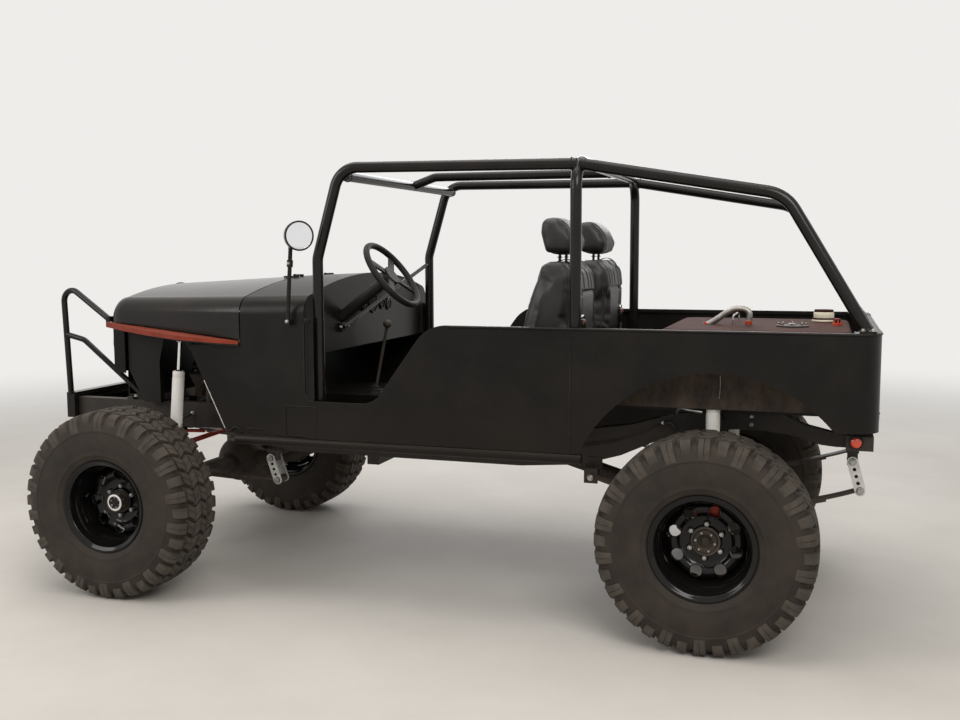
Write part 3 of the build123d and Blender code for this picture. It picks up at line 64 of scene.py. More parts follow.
def circle(centre, radius, count, plane, first=0.0):
    """Points evenly round a circle in the plane of two axes, from a first angle in degrees."""
    for n in range(count):
        angle = math.radians(first + n * 360 / count)
        spot = list(centre)
        spot["xyz".index(plane[0])] += radius * math.cos(angle)
        spot["xyz".index(plane[1])] += radius * math.sin(angle)
        yield tuple(spot)


# Camera at the photograph's place and angle: angles in radians, place in stations, focal length in pixels
YAW, TILT, ROLL = 0.3200, -0.1037, -0.0035
CAMERA_PLACE = (-1771.7, 4899.5, 1594.6)
FOCAL_PX = 1043.66
PHOTO_PX = 960
SENSOR_MM = 36.0


def build_camera():
    level = math.cos(TILT)
    ahead = Vector((math.sin(YAW) * level, -math.cos(YAW) * level, math.sin(TILT)))
    right = ahead.cross(Vector(UP)).normalized()
    up = right.cross(ahead)
    turned_right = right * math.cos(ROLL) + up * math.sin(ROLL)
    turned_up = up * math.cos(ROLL) - right * math.sin(ROLL)
    basis = Matrix((turned_right, turned_up, -ahead)).transposed().to_4x4()
    data = bpy.data.cameras.new("camera")
    data.sensor_width = SENSOR_MM
    data.lens = FOCAL_PX / PHOTO_PX * SENSOR_MM
    camera = bpy.data.objects.new("camera", data)
    camera.matrix_world = Matrix.Translation(at(*CAMERA_PLACE)) @ basis
    bpy.context.collection.objects.link(camera)
    bpy.context.scene.camera = camera


# Studio: name, place, aim, width and height in metres, watts and colour of each light
LIGHTS = [
    ("key", (-3.2, 4.6, 4.6), (0, 0, 0.9), (3.2, 2.2), 150, (1.0, 0.96, 0.90)),
    ("fill", (4.2, 4.0, 3.4), (0.6, 0, 0.8), (3.0, 2.4), 90, (1.0, 0.97, 0.94)),
    ("top", (0.2, 0.3, 5.2), (0, 0, 0.5), (5.5, 3.5), 140, (1.0, 0.97, 0.93)),
    ("back", (0.5, -5.5, 3.6), (0, 0, 1.0), (5.0, 2.2), 110, (0.96, 0.97, 1.0)),
]
ROOM_TONE, ROOM_POWER = (1.0, 0.97, 0.93), 0.42
PALE, PALE_POWER = (0.90, 0.89, 0.87), 0.95


def area_light(name, place, target, size, power, colour):
    data = bpy.data.lights.new(name, "AREA")
    data.shape = "RECTANGLE"
    data.size, data.size_y = size
    data.energy = power
    data.color = colour
    lamp = bpy.data.objects.new(name, data)
    lamp.location = place
    way = Vector(target) - Vector(place)
    lamp.rotation_euler = way.to_track_quat("-Z", "Y").to_euler()
    bpy.context.collection.objects.link(lamp)


# Short ways to write node trees
def feed(tree, value, slot):
    """Link a socket, or set a constant; a colour of three numbers gets its alpha."""
    if isinstance(value, bpy.types.NodeSocket):
        tree.links.new(value, slot)
    elif slot.type == "RGBA":
        slot.default_value = (*value, 1)
    else:
        slot.default_value = value


def node(tree, kind, **inputs):
    """A node whose inputs are named with underscores for spaces."""
    made = tree.nodes.new(kind)
    for name, value in inputs.items():
        feed(tree, value, made.inputs[name.replace("_", " ")])
    return made


def worked(tree, operation, *values, kind="ShaderNodeMath"):
    """Result of a sum; each value is a socket or a constant."""
    made = tree.nodes.new(kind)
    made.operation = operation
    for value, slot in zip(values, made.inputs):
        feed(tree, value, slot)
    return made.outputs["Value"]


def worked_vector(tree, operation, *values):
    return worked(tree, operation, *values, kind="ShaderNodeVectorMath")


def ramp(tree, source, stops):
    made = tree.nodes.new("ShaderNodeValToRGB")
    bar = made.color_ramp
    while len(bar.elements) < len(stops):
        bar.elements.new(0.5)
    for element, (place, colour) in zip(bar.elements, stops):
        element.position = place
        element.color = (*colour, 1)
    tree.links.new(source, made.inputs[0])
    return made.outputs[0]


def spread(tree, source, low, high, from_low=0.3, from_high=0.7):
    """Range from_low to from_high stretched to low to high."""
    made = node(tree, "ShaderNodeMapRange", Value=source, From_Min=from_low, From_Max=from_high, To_Min=low,
                To_Max=high)
    return made.outputs[0]


def mixed(tree, share, first, second):
    """Colour mix; first and second are sockets or colours."""
    made = tree.nodes.new("ShaderNodeMix")
    made.data_type = "RGBA"
    for slot, value in ((0, share), (6, first), (7, second)):
        feed(tree, value, made.inputs[slot])
    return made.outputs[2]


def blended(tree, share, first, second):
    """Shader mix of two nodes."""
    made = tree.nodes.new("ShaderNodeMixShader")
    for slot, value in enumerate((share, first.outputs[0], second.outputs[0])):
        tree.links.new(value, made.inputs[slot])
    return made.outputs[0]


def height_of(tree, source):
    """Z of a vector."""
    return node(tree, "ShaderNodeSeparateXYZ", Vector=source).outputs["Z"]


def seen_rays(tree):
    """One for rays that show the surroundings: camera, glossy and transmission."""
    path = tree.nodes.new("ShaderNodeLightPath")
    seen = worked(tree, "MAXIMUM", path.outputs["Is Camera Ray"], path.outputs["Is Glossy Ray"])
    return worked(tree, "MAXIMUM", seen, path.outputs["Is Transmission Ray"])


def build_studio():
    scene = bpy.context.scene
    scene.view_settings.view_transform = "Standard"
    world = bpy.data.worlds.new("studio")
    world.use_nodes = True
    scene.world = world
    tree = world.node_tree
    tree.nodes.clear()
    soft = node(tree, "ShaderNodeBackground", Color=ROOM_TONE, Strength=ROOM_POWER)
    pale = node(tree, "ShaderNodeBackground", Color=PALE, Strength=PALE_POWER)
    node(tree, "ShaderNodeOutputWorld", Surface=blended(tree, seen_rays(tree), soft, pale))
    for row in LIGHTS:
        area_light(*row)


# Materials
def noise(tree, coord, scale, detail, rough):
    made = node(tree, "ShaderNodeTexNoise", Vector=coord, Scale=scale, Detail=detail, Roughness=rough)
    return made.outputs["Fac"]


def surface(name, tones, rough, blotch=6.0, fine=60.0, metal=0.0, coat=0.0, bump=0.15, depth=0.0006,
            shine=0.5, dust=0.0, dust_tone=(0.20, 0.17, 0.13), edge_wear_and_highlight=0.0, edge_wear_and_highlight_tone=(0.32, 0.30, 0.28),
            edge=0.0015, grime=None, stretch=None, below=None):
    """Paint, metal, rubber or leather with colour patches, fine relief, dust on top and worn edges; on the
    body paint the pale edge tone is partly wear and partly a painted highlight along the edges.

    tones are the two patch colours and rough the range of roughness. blotch and fine are the scales of the
    patches and the grain. grime is (low, high, tone) in height, and below is (direction, limit, tone), for
    the part that lies below a slanted plane.
    """
    made = bpy.data.materials.new(name)
    made.use_nodes = True
    tree = made.node_tree
    coord = tree.nodes.new("ShaderNodeTexCoord").outputs["Object"]
    if stretch:
        coord = node(tree, "ShaderNodeMapping", Scale=stretch, Vector=coord).outputs[0]
    patches = noise(tree, coord, blotch, 6.0, 0.62)
    grain = noise(tree, coord, fine, 4.0, 0.6)
    normal = tree.nodes.new("ShaderNodeNewGeometry").outputs["Normal"]
    rounded = node(tree, "ShaderNodeBevel", Radius=edge)
    rounded.samples = 4
    colour = ramp(tree, patches, [(0.32, tones[0]), (0.68, tones[1])])
    if below:
        way, limit, tone = below
        height = worked_vector(tree, "DOT_PRODUCT", coord, way)
        colour = mixed(tree, spread(tree, height, 1.0, 0.0, limit - 0.001, limit + 0.001), colour, tone)
    if grime:
        low, high, tone = grime
        height = spread(tree, height_of(tree, coord), 1.0, 0.0, low, high)
        patchy = worked(tree, "MULTIPLY", height, spread(tree, grain, 0.35, 1.0))
        colour = mixed(tree, patchy, colour, tone)
    if dust:
        lying = spread(tree, height_of(tree, normal), 0.0, dust, 0.1, 1.0)
        patchy = worked(tree, "MULTIPLY", lying, spread(tree, patches, 0.3, 1.0))
        colour = mixed(tree, patchy, colour, dust_tone)
    # Edge tone on sharp edges from the bevel normal: wear, and on the body paint also a painted highlight
    # along its edges
    if edge_wear_and_highlight:
        turned = worked_vector(tree, "DOT_PRODUCT", rounded.outputs[0], normal)
        sharp = spread(tree, turned, edge_wear_and_highlight, 0.0, 0.80, 0.99)
        worn_and_lit = worked(tree, "MULTIPLY", sharp, spread(tree, patches, 0.0, 1.0, 0.4, 0.6))
        colour = mixed(tree, worn_and_lit, colour, edge_wear_and_highlight_tone)
    soft = rounded.outputs[0]
    relief = node(tree, "ShaderNodeBump", Strength=bump, Distance=depth, Height=grain, Normal=soft)
    settings = {
        "Base Color": colour, "Roughness": spread(tree, grain, *rough), "Metallic": metal,
        "Coat Weight": coat, "Coat Roughness": 0.06, "Specular IOR Level": shine, "Normal": relief.outputs[0],
    }
    for socket, value in settings.items():
        feed(tree, value, tree.nodes["Principled BSDF"].inputs[socket])
    return made


EARTH = (0.17, 0.12, 0.08)
MATS = {
    # body paint: its pale edge tone is partly wear and partly a painted highlight along the edges
    "body": surface("body_paint", ((0.004, 0.0034, 0.0030), (0.013, 0.011, 0.0095)), (0.26, 0.46),
        blotch=2.6, fine=900, bump=0.10, depth=0.0002, dust=0.05, grime=(0.70, 0.98, (0.014, 0.011, 0.008)),
        shine=0.16, edge_wear_and_highlight=0.55, edge_wear_and_highlight_tone=(0.14, 0.125, 0.11), edge=0.0028),
    "hood": surface("hood_paint", ((0.006, 0.005, 0.004), (0.013, 0.010, 0.008)), (0.14, 0.26), blotch=3.0,
        fine=700, coat=0.10, bump=0.05, depth=0.0002, dust=0.04, shine=0.20),
    "gloss": surface("gloss_black", ((0.006, 0.005, 0.0045), (0.011, 0.009, 0.008)), (0.13, 0.24), blotch=9,
        fine=400, bump=0.04, depth=0.0002, dust=0.04, shine=0.26),
    "dark": surface("dark_plastic", ((0.008, 0.007, 0.007), (0.016, 0.014, 0.013)), (0.46, 0.66), blotch=14,
        fine=500, bump=0.25, depth=0.0003, dust=0.04, shine=0.2),
    "cell": surface("cell_paint", ((0.028, 0.011, 0.008), (0.052, 0.020, 0.015)), (0.62, 0.82), blotch=6,
        fine=300, bump=0.12, depth=0.0003, dust=0.15, dust_tone=(0.16, 0.07, 0.05), shine=0.06),
    "frame": surface("frame_paint", ((0.016, 0.013, 0.011), (0.032, 0.025, 0.019)), (0.42, 0.68), blotch=8,
        fine=160, bump=0.3, depth=0.0005, dust=0.25, dust_tone=EARTH, edge_wear_and_highlight=0.25, shine=0.35),
    "axle": surface("axle_paint", ((0.020, 0.016, 0.013), (0.055, 0.040, 0.029)), (0.55, 0.82), blotch=11,
        fine=140, bump=0.5, depth=0.0008, dust=0.4, dust_tone=EARTH, edge_wear_and_highlight=0.3, shine=0.35),
    "spring": surface("spring_steel", ((0.022, 0.018, 0.015), (0.065, 0.046, 0.032)), (0.5, 0.8), blotch=18,
        fine=200, bump=0.35, depth=0.0005, dust=0.35, dust_tone=EARTH, edge_wear_and_highlight=0.4),
    "plate": surface("bright_plate", ((0.54, 0.54, 0.52), (0.74, 0.73, 0.71)), (0.30, 0.48), blotch=40,
        fine=300, metal=0.55, bump=0.12, depth=0.0003),
    "zinc": surface("zinc_bolt", ((0.30, 0.29, 0.27), (0.46, 0.45, 0.43)), (0.30, 0.48), blotch=40, fine=300,
        metal=0.85, bump=0.12, depth=0.0003),
    "chrome": surface("chrome", ((0.72, 0.72, 0.72), (0.82, 0.82, 0.81)), (0.05, 0.13), blotch=30, fine=500,
        metal=1.0, bump=0.02, depth=0.0001),
    "steel": surface("bare_steel", ((0.25, 0.24, 0.22), (0.42, 0.40, 0.37)), (0.30, 0.52), blotch=30,
        fine=260, metal=0.8, bump=0.2, depth=0.0003),
    "white": surface("shock_white", ((0.74, 0.73, 0.69), (0.86, 0.85, 0.82)), (0.25, 0.42), blotch=14,
        fine=220, bump=0.08, depth=0.0003, grime=(0.48, 0.72, (0.42, 0.37, 0.30))),
    "red": surface("red_paint", ((0.17, 0.024, 0.011), (0.29, 0.046, 0.022)), (0.40, 0.62), blotch=9,
        fine=240, bump=0.15, depth=0.0003, dust=0.3, dust_tone=(0.20, 0.09, 0.06), edge_wear_and_highlight=0.5,
        edge_wear_and_highlight_tone=(0.10, 0.06, 0.045), shine=0.2, below=((-0.052, 0, 1), 1.1344, (0.010, 0.008, 0.007))),
    "link": surface("link_red", ((0.40, 0.035, 0.014), (0.52, 0.060, 0.024)), (0.30, 0.48), blotch=12,
        fine=240, bump=0.1, depth=0.0003, dust=0.1, shine=0.25),
    "rim": surface("rim_black", ((0.003, 0.003, 0.003), (0.006, 0.005, 0.005)), (0.07, 0.14), blotch=12,
        fine=300, coat=0.12, bump=0.02, depth=0.0001, dust=0.02, shine=0.22),
    "rubber": surface("rubber", ((0.018, 0.0145, 0.011), (0.037, 0.028, 0.021)), (0.58, 0.84), blotch=9,
        fine=420, bump=0.35, depth=0.0004, shine=0.32),
    "tread": surface("tread_rubber", ((0.042, 0.036, 0.030), (0.084, 0.071, 0.058)), (0.70, 0.92), blotch=14,
        fine=260, bump=0.6, depth=0.0008, shine=0.3),
    "leather": surface("leather", ((0.011, 0.010, 0.010), (0.022, 0.020, 0.019)), (0.34, 0.50), blotch=12,
        fine=380, bump=0.55, depth=0.0006, dust=0.06, shine=0.4),
    "cast": surface("cast_iron", ((0.040, 0.035, 0.031), (0.10, 0.082, 0.066)), (0.55, 0.8), blotch=10,
        fine=120, metal=0.3, bump=0.6, depth=0.001, dust=0.3, dust_tone=EARTH),
    "alloy": surface("alloy", ((0.42, 0.42, 0.41), (0.58, 0.58, 0.56)), (0.28, 0.45), blotch=25, fine=200,
        metal=0.9, bump=0.15, depth=0.0003),
    "cream": surface("cream_cap", ((0.62, 0.57, 0.44), (0.76, 0.71, 0.58)), (0.35, 0.5), blotch=30, fine=200,
        bump=0.1, depth=0.0003),
    "hose": surface("hose", ((0.016, 0.015, 0.014), (0.030, 0.027, 0.025)), (0.45, 0.65), blotch=30,
        fine=300, bump=0.25, depth=0.0003, dust=0.15),
    "rust": surface("rusty_brown", ((0.060, 0.036, 0.023), (0.14, 0.085, 0.052)), (0.7, 0.92), blotch=9,
        fine=90, bump=0.5, depth=0.001),
    "streaks": surface("rust_streaks", ((0.018, 0.013, 0.010), (0.082, 0.056, 0.040)), (0.7, 0.92), blotch=7,
        fine=70, bump=0.4, depth=0.0006, stretch=(1.7, 1.0, 0.75)),
    "mirror": surface("mirror_glass", ((0.80, 0.82, 0.84), (0.86, 0.87, 0.88)), (0.01, 0.03), blotch=20,
        fine=200, metal=1.0, bump=0.0, depth=0.0001),
    "band": surface("webbing", ((0.018, 0.018, 0.019), (0.030, 0.030, 0.031)), (0.7, 0.85), blotch=20,
        fine=900, bump=0.6, depth=0.0006),
}


def lens(name, colour, rough, transmission=0.0):
    """Lamp glass with a faint pattern."""
    darker = tuple(c * 0.86 for c in colour)
    made = surface(name, (colour, darker), (rough, rough + 0.06), blotch=60, fine=500, coat=0.6, bump=0.1,
                   depth=0.0002)
    made.node_tree.nodes["Principled BSDF"].inputs["Transmission Weight"].default_value = transmission
    return made


MATS["red_lens"] = lens("red_lens", (0.62, 0.055, 0.016), 0.10)
MATS["clear_lens"] = lens("clear_lens", (0.80, 0.82, 0.82), 0.05, 0.6)

# Which material each CAD node that stays in view takes; a name in braces stands for both sides or ends
CAD_LOOK = {
    "frame": "frame", "front_bumper": "gloss", "{end}_axle": "axle", "tie_rod": "axle", "drag_link": "link",
    "pitman_arm": "axle", "steering_column": "dark", "steering_wheel": "dark", "engine": "cast",
    "{end}_shaft": "axle", "tub": "body", "tailgate": "body", "hood": "hood", "grille": "body",
    "fender_{side}": "red", "cage": "gloss", "fuel_cell": "cell", "seat_{side}": "leather", "mirror": "gloss",
    "knuckle_{side}": "axle", "spring_{end}_{side}": "spring", "shackle_{end}_{side}": "plate",
    "shock_{end}_{side}": "white", "rim_{end}_{side}": "rim", "tyre_{end}_{side}": "rubber",
}


def dress_nodes():
    for pattern, look in CAD_LOOK.items():
        names = {pattern.format(end=end, side=side) for end in HUB_Y for side, _ in SIDES}
        for name in names:
            for holder in NODES[name].material_slots:
                holder.material = MATS[look]


# Pale floor that takes the shadow and fades into the backdrop between two distances in metres
FADE_FROM, FADE_TO = 3.4, 11.0
FLOOR_HALF = 60.0


def build_floor():
    made = surface("floor", ((0.60, 0.575, 0.54), (0.66, 0.635, 0.60)), (0.6, 0.75), blotch=1.2, fine=60,
                   bump=0.05, depth=0.0005, shine=0.2)
    tree = made.node_tree
    place = tree.nodes.new("ShaderNodeNewGeometry").outputs["Position"]
    fade = node(tree, "ShaderNodeMapRange", Value=worked_vector(tree, "LENGTH", place), From_Min=FADE_FROM,
                From_Max=FADE_TO)
    fade.interpolation_type = "SMOOTHSTEP"
    glow = node(tree, "ShaderNodeEmission", Color=PALE, Strength=PALE_POWER)
    share = worked(tree, "MULTIPLY", fade.outputs[0], seen_rays(tree))
    mix = blended(tree, share, tree.nodes["Principled BSDF"], glow)
    tree.links.new(mix, tree.nodes["Material Output"].inputs["Surface"])
    mesh = bpy.data.meshes.new("floor")
    corners = [(x * FLOOR_HALF, y * FLOOR_HALF, 0) for x, y in ((-1, -1), (1, -1), (1, 1), (-1, 1))]
    mesh.from_pydata(corners, [], [(0, 1, 2, 3)])
    floor = bpy.data.objects.new("floor", mesh)
    mesh.materials.append(made)
    bpy.context.collection.objects.link(floor)


# Mesh building in station millimetres
def spokes(axis):
    """Unit axis and a pair square to it; gives the axis and a function from angle to direction."""
    axis = Vector(axis).normalized()
    side = axis.orthogonal().normalized()
    other = axis.cross(side)
    return axis, lambda angle: side * math.cos(angle) + other * math.sin(angle)


def turns(count):
    """Angles evenly round a full turn."""
    return [2 * math.pi * n / count for n in range(count)]


def is_kind(items, kind):
    return [item for item in items if isinstance(item, kind)]


def flip_sides(mesh):
    """Mirror a bmesh to the other side of the vehicle."""
    for v in mesh.verts:
        v.co.y = -v.co.y
    bmesh.ops.reverse_faces(mesh, faces=mesh.faces[:])


class Shape:
    """Collects geometry; done() turns it into a piece that rides on a body."""

    def __init__(self, look):
        self.bm = bmesh.new()
        self.looks = [look]
        self.index = 0

    def use(self, look):
        """Later geometry takes this material."""
        if look not in self.looks:
            self.looks.append(look)
        self.index = self.looks.index(look)

    def faces(self, made):
        for face in made:
            face.material_index = self.index
            face.smooth = True

    def grid(self, rows, wrap_rows=False, wrap_points=False, caps=False):
        """Quads between rows of points, closed in either direction."""
        made = [[self.bm.verts.new(p) for p in row] for row in rows]
        count = len(made[0])
        last = len(made) if wrap_rows else len(made) - 1
        across = count if wrap_points else count - 1
        new = []
        for i in range(last):
            a, b = made[i], made[(i + 1) % len(made)]
            for j in range(across):
                k = (j + 1) % count
                new.append(self.bm.faces.new((a[j], a[k], b[k], b[j])))
        if caps:
            new.append(self.bm.faces.new(made[0][::-1]))
            new.append(self.bm.faces.new(made[-1]))
        self.faces(new)
        return new

    def lathe(self, profile, centre, axis, steps=48, closed=False):
        """Profile of (distance along axis, radius) turned about the axis."""
        axis, spoke = spokes(axis)
        rows = [[Vector(centre) + axis * s + spoke(a) * r for s, r in profile] for a in turns(steps)]
        self.grid(rows, wrap_rows=True, wrap_points=closed)

    def tube(self, points, radius, sides=12, smooth=0):
        """Round bar along points; smooth adds that many spans per run on a soft curve."""
        path = [Vector(p) for p in points]
        if smooth:
            path = soft_line(path, smooth)
        side = (path[1] - path[0]).normalized().orthogonal().normalized()
        rows = []
        for n, p in enumerate(path):
            way = (path[min(n + 1, len(path) - 1)] - path[max(n - 1, 0)]).normalized()
            side = (side - way * side.dot(way)).normalized()
            other = way.cross(side)
            rows.append([p + (side * math.cos(a) + other * math.sin(a)) * radius for a in turns(sides)])
        self.grid(rows, wrap_points=True, caps=True)

    def block(self, low, high, bevel, turn=None, pivot=None):
        """Box between two corners with rounded edges, turned about a pivot."""
        low, high = Vector(low), Vector(high)
        middle = (low + high) / 2
        made = bmesh.ops.create_cube(self.bm, size=1.0)["verts"]
        for v in made:
            v.co = v.co * (high - low) + middle
        edges = list({e for v in made for e in v.link_edges})
        out = bmesh.ops.bevel(self.bm, geom=edges, offset=bevel, segments=2, profile=0.5, affect="EDGES")
        made = list({v for f in out["faces"] for v in f.verts} | {v for v in made if v.is_valid})
        if turn is not None:
            bmesh.ops.rotate(self.bm, verts=made, cent=Vector(pivot or middle), matrix=turn)
        self.faces({f for v in made for f in v.link_faces})

    def bolt(self, centre, axis, across=17.0, height=9.0, washer=True, stud=0.0):
        """Hexagon head with a washer and, as a nut, the thread end."""
        axis, spoke = spokes(axis)
        centre = Vector(centre)
        if washer:
            self.lathe([(0, across * 0.3), (0, across * 0.68), (1.6, across * 0.68), (2.2, across * 0.62),
                        (2.2, across * 0.3)], centre, axis, 20)
            centre = centre + axis * 2.0
        corner = across / math.sqrt(3)
        self.grid([[centre + axis * s + spoke(a) * r for a in turns(6)]
                   for s, r in ((0, corner), (height * 0.85, corner), (height, corner * 0.86))],
                  wrap_points=True, caps=True)
        if stud:
            self.lathe([(height * 0.5, across * 0.27), (height + stud - 1, across * 0.27),
                        (height + stud, across * 0.2), (height + stud, TINY)], centre, axis, 12)

    def sheet(self, rows, thickness):
        """Thin plate from a grid of points, thickened away from its normal."""
        made = self.grid(rows)
        bmesh.ops.recalc_face_normals(self.bm, faces=made)
        out = bmesh.ops.solidify(self.bm, geom=made, thickness=thickness)
        self.faces(is_kind(out["geom"], bmesh.types.BMFace))

    def mirror(self):
        """Adds the same geometry on the other side of the vehicle."""
        out = bmesh.ops.duplicate(self.bm, geom=self.bm.verts[:] + self.bm.edges[:] + self.bm.faces[:])
        for v in is_kind(out["geom"], bmesh.types.BMVert):
            v.co.y = -v.co.y
        bmesh.ops.reverse_faces(self.bm, faces=is_kind(out["geom"], bmesh.types.BMFace))

    def mesh(self, name, local=False, crease=38, outward=True):
        """The mesh in metres, about its own origin where local, with edges sharp past the crease angle."""
        if outward:
            bmesh.ops.recalc_face_normals(self.bm, faces=self.bm.faces[:])
        shift = Vector((0 if local else SHIFT_X, 0, 0))
        for v in self.bm.verts:
            v.co = (v.co + shift) / 1000
        made = bpy.data.meshes.new(name)
        self.bm.to_mesh(made)
        self.bm.free()
        for look in self.looks:
            made.materials.append(MATS[look])
        made.set_sharp_from_angle(angle=math.radians(crease))
        return made

    def done(self, name, body="chassis", replaces=(), slot=None, **options):
        put(name, self.mesh(name, **options), body, replaces)


def put(name, mesh, body, replaces=(), place=None):
    """A mesh as a piece on a body."""
    piece = bpy.data.objects.new(name, mesh)
    bpy.context.collection.objects.link(piece)
    if place is not None:
        piece.matrix_world = place
    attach(piece, body)
    if replaces:
        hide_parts(*replaces)
    return piece


def soft_line(path, spans):
    """Points on a smooth curve through the given ones."""
    ends = [path[0] * 2 - path[1]] + path + [path[-1] * 2 - path[-2]]
    line = []
    for a, b, c, d in zip(ends, ends[1:], ends[2:], ends[3:]):
        for n in range(spans):
            t = n / spans
            line.append(0.5 * (2 * b + (c - a) * t + (2 * a - 5 * b + 4 * c - d) * t * t
                               + (3 * b - 3 * c + d - a) * t ** 3))
    line.append(path[-1])
    return line


def between(table, x):
    """Linear look-up in rows that start with the key."""
    for low, high in zip(table, table[1:]):
        if x <= high[0]:
            share = (x - low[0]) / (high[0] - low[0])
            return [a + (b - a) * share for a, b in zip(low[1:], high[1:])]
    return list(table[-1][1:])


# Tyres: carcass, chevron blocks in four rows and shoulder lugs that wrap to the sidewall
PITCHES = 36
PITCH = 2 * math.pi / PITCHES
JITTER = 0.012
SINK = -0.12
# offset across a sipe as a share of the block, and how much of the block's height is left there
SIPE = [(-0.022, 1.0), (-0.016, 0.55), (0.016, 0.55), (0.022, 1.0)]

# distance round the section, carcass (offset, radius), block top (offset, radius)
SECTION = [
    (0, 0, 423.5, 0, 437.4), (40, 40, 423, 40, 437.2), (80, 80, 421.5, 80, 436.4),
    (105, 105, 418.5, 106, 434.4), (120, 119, 414.5, 122, 431), (135, 131, 407, 135.5, 423.5),
    (150, 139, 398, 145, 411), (165, 144.5, 386, 151, 396), (180, 148.5, 374, 154.2, 380.5),
    (195, 151.5, 362, 155.8, 366), (206, 153, 353, 154.2, 354.5),
]
# the rest of the carcass past the lugs: sidewall, bead and lining
SIDEWALL = [
    (152.6, 357), (153.8, 356), (154.4, 352), (154.2, 347), (153.2, 345.5), (154.6, 330), (155.6, 312),
    (155.8, 296), (154.8, 280), (152.5, 264), (149.5, 250), (149.8, 247), (148.6, 241), (145.5, 238),
    (141.5, 228), (136.5, 220), (132.5, 216), (129, 213.5), (126.5, 208), (124.5, 200), (123, 194),
    (108, 191.5), (112, 212), (139, 300), (123, 395), (0, 396),
]
CARCASS = [(y, r) for _, y, r, _, _ in SECTION[:-1]] + SIDEWALL
SECTION_END = SECTION[-1][0]
LONG_LUG, SHORT_LUG, LUG_FADE = 203.0, 172.0, 34.0


def section_point(t, rise):
    """Point of the tyre section between carcass (0) and block top (1)."""
    y0, r0, y1, r1 = between(SECTION, min(abs(t), SECTION_END))
    return math.copysign(y0 + (y1 - y0) * rise, t), r0 + (r1 - r0) * rise


def tread_block(shape, side, t0, t1, lead, width, slope=None, sipe=0.5, rise_to=None, steps=6):
    """One rubber block between two section stations, with a bevelled rim and a sipe."""
    across = [0.0, 0.05] + [0.05 + 0.9 * n / steps for n in range(1, steps)] + [0.95, 1.0]
    along = [(0.0, SINK), (0.06, 1.0), (0.94, 1.0), (1.0, SINK)]
    if sipe:
        along[2:2] = [(sipe + off, high) for off, high in SIPE]
    rows = []
    for n, u in enumerate(across):
        t = side * (t0 + (t1 - t0) * u)
        edge = SINK if n in (0, len(across) - 1) else 1.0
        fade = rise_to(abs(t)) if rise_to else 1.0
        row = []
        for v, high in along:
            rise = min(edge, high) * fade if min(edge, high) > 0 else SINK
            y, r = section_point(t, rise)
            angle = lead + (slope(abs(t)) if slope else 0.0) + (v - 0.5) * width
            row.append(Vector((r * math.sin(angle), y, r * math.cos(angle))))
        rows.append(row)
    shape.grid(rows)


def build_tyre_mesh():
    """Left tyre round the origin, rolling forward to +X."""
    shape = Shape("tread")
    for n in range(PITCHES):
        start = n * PITCH
        jitter = RNG.uniform(-JITTER, JITTER) * PITCH
        for side in WAYS:
            tread_block(shape, side, 3.0, 47.0, start + jitter, PITCH * 0.82, lambda t: -0.0078 * t * PITCH)
            tread_block(shape, side, 53.0, 97.0, start + PITCH * 0.12, PITCH * 0.80,
                        lambda t: 0.0075 * (t - 97) * PITCH)
            is_long = (n + (side < 0)) % 2 == 0
            end = LONG_LUG if is_long else SHORT_LUG
            tread_block(shape, side, 103.0, end, start - PITCH * 0.02, PITCH * (0.70 if is_long else 0.62),
                        sipe=0.5 if is_long else None, steps=9,
                        rise_to=lambda t, end=end: max(0.12, min(1.0, (end + 6 - t) / LUG_FADE)))
    shape.use("rubber")
    profile = CARCASS + [(-y, r) for y, r in CARCASS[-2:0:-1]]
    shape.lathe(profile, (0, 0, 0), ACROSS, steps=144, closed=True)
    return shape.mesh("tyre_left_mesh", local=True, crease=32)


def mirrored_mesh(mesh, name):
    """A copy of a mesh for the other side."""
    made = bmesh.new()
    made.from_mesh(mesh)
    flip_sides(made)
    copy = mesh.copy()
    copy.name = name
    made.to_mesh(copy)
    made.free()
    return copy


# Rims: rolled barrel, deep dish disc with eight holes, six nuts and the valve
BARREL = [
    (-137, 212), (-138, 208), (-137, 202), (-133, 199), (-130, 192), (-126, 188), (-99, 186), (-94, 182),
    (-72, 168), (-64, 166.5), (58, 166.5), (66, 168), (92, 182.5), (98, 186), (126, 188.5), (130, 192),
    (132.5, 199), (135.5, 203), (137.5, 206), (138, 210), (137.5, 212.5), (135.8, 213), (134, 211.5),
    (131.5, 207), (129, 199.5), (126, 194.5), (121, 192.5), (97, 190), (90, 187.5), (66, 173.5), (59, 172),
    (-62, 172), (-70, 173.5), (-91, 187.5), (-98, 190), (-124, 192.5), (-129, 197), (-131, 204),
    (-132.5, 209), (-134, 212), (-136, 213),
]
DISC = [
    (10, 47), (12, 48), (12.5, 53), (10, 57), (1, 61), (-6, 64), (-7, 80), (-6, 96), (-2, 104), (6, 111),
    (12, 118), (14.5, 126), (14, 136), (10, 146), (3, 154), (-4, 160), (-6, 166), (-20, 167), (-24, 166),
    (-9, 157), (-3, 151), (4, 143), (8, 135), (8.5, 127), (6, 120), (-1, 113), (-10, 106), (-14, 98),
    (-14, 64), (-14, 47),
]
HOLES, HOLE_R, HOLE_CIRCLE = 8, 24.0, 126.0
NUTS, NUT_CIRCLE, NUT_FIRST = 6, 69.85, 33
REAR_TURN = 106.0
LIP_Y, NUT_SEAT_Y = 13.8, -7


def solid_mesh(shape, name):
    """Temporary closed object for a boolean cut."""
    made = bpy.data.objects.new(name, shape.mesh(name, local=True))
    bpy.context.collection.objects.link(made)
    return made


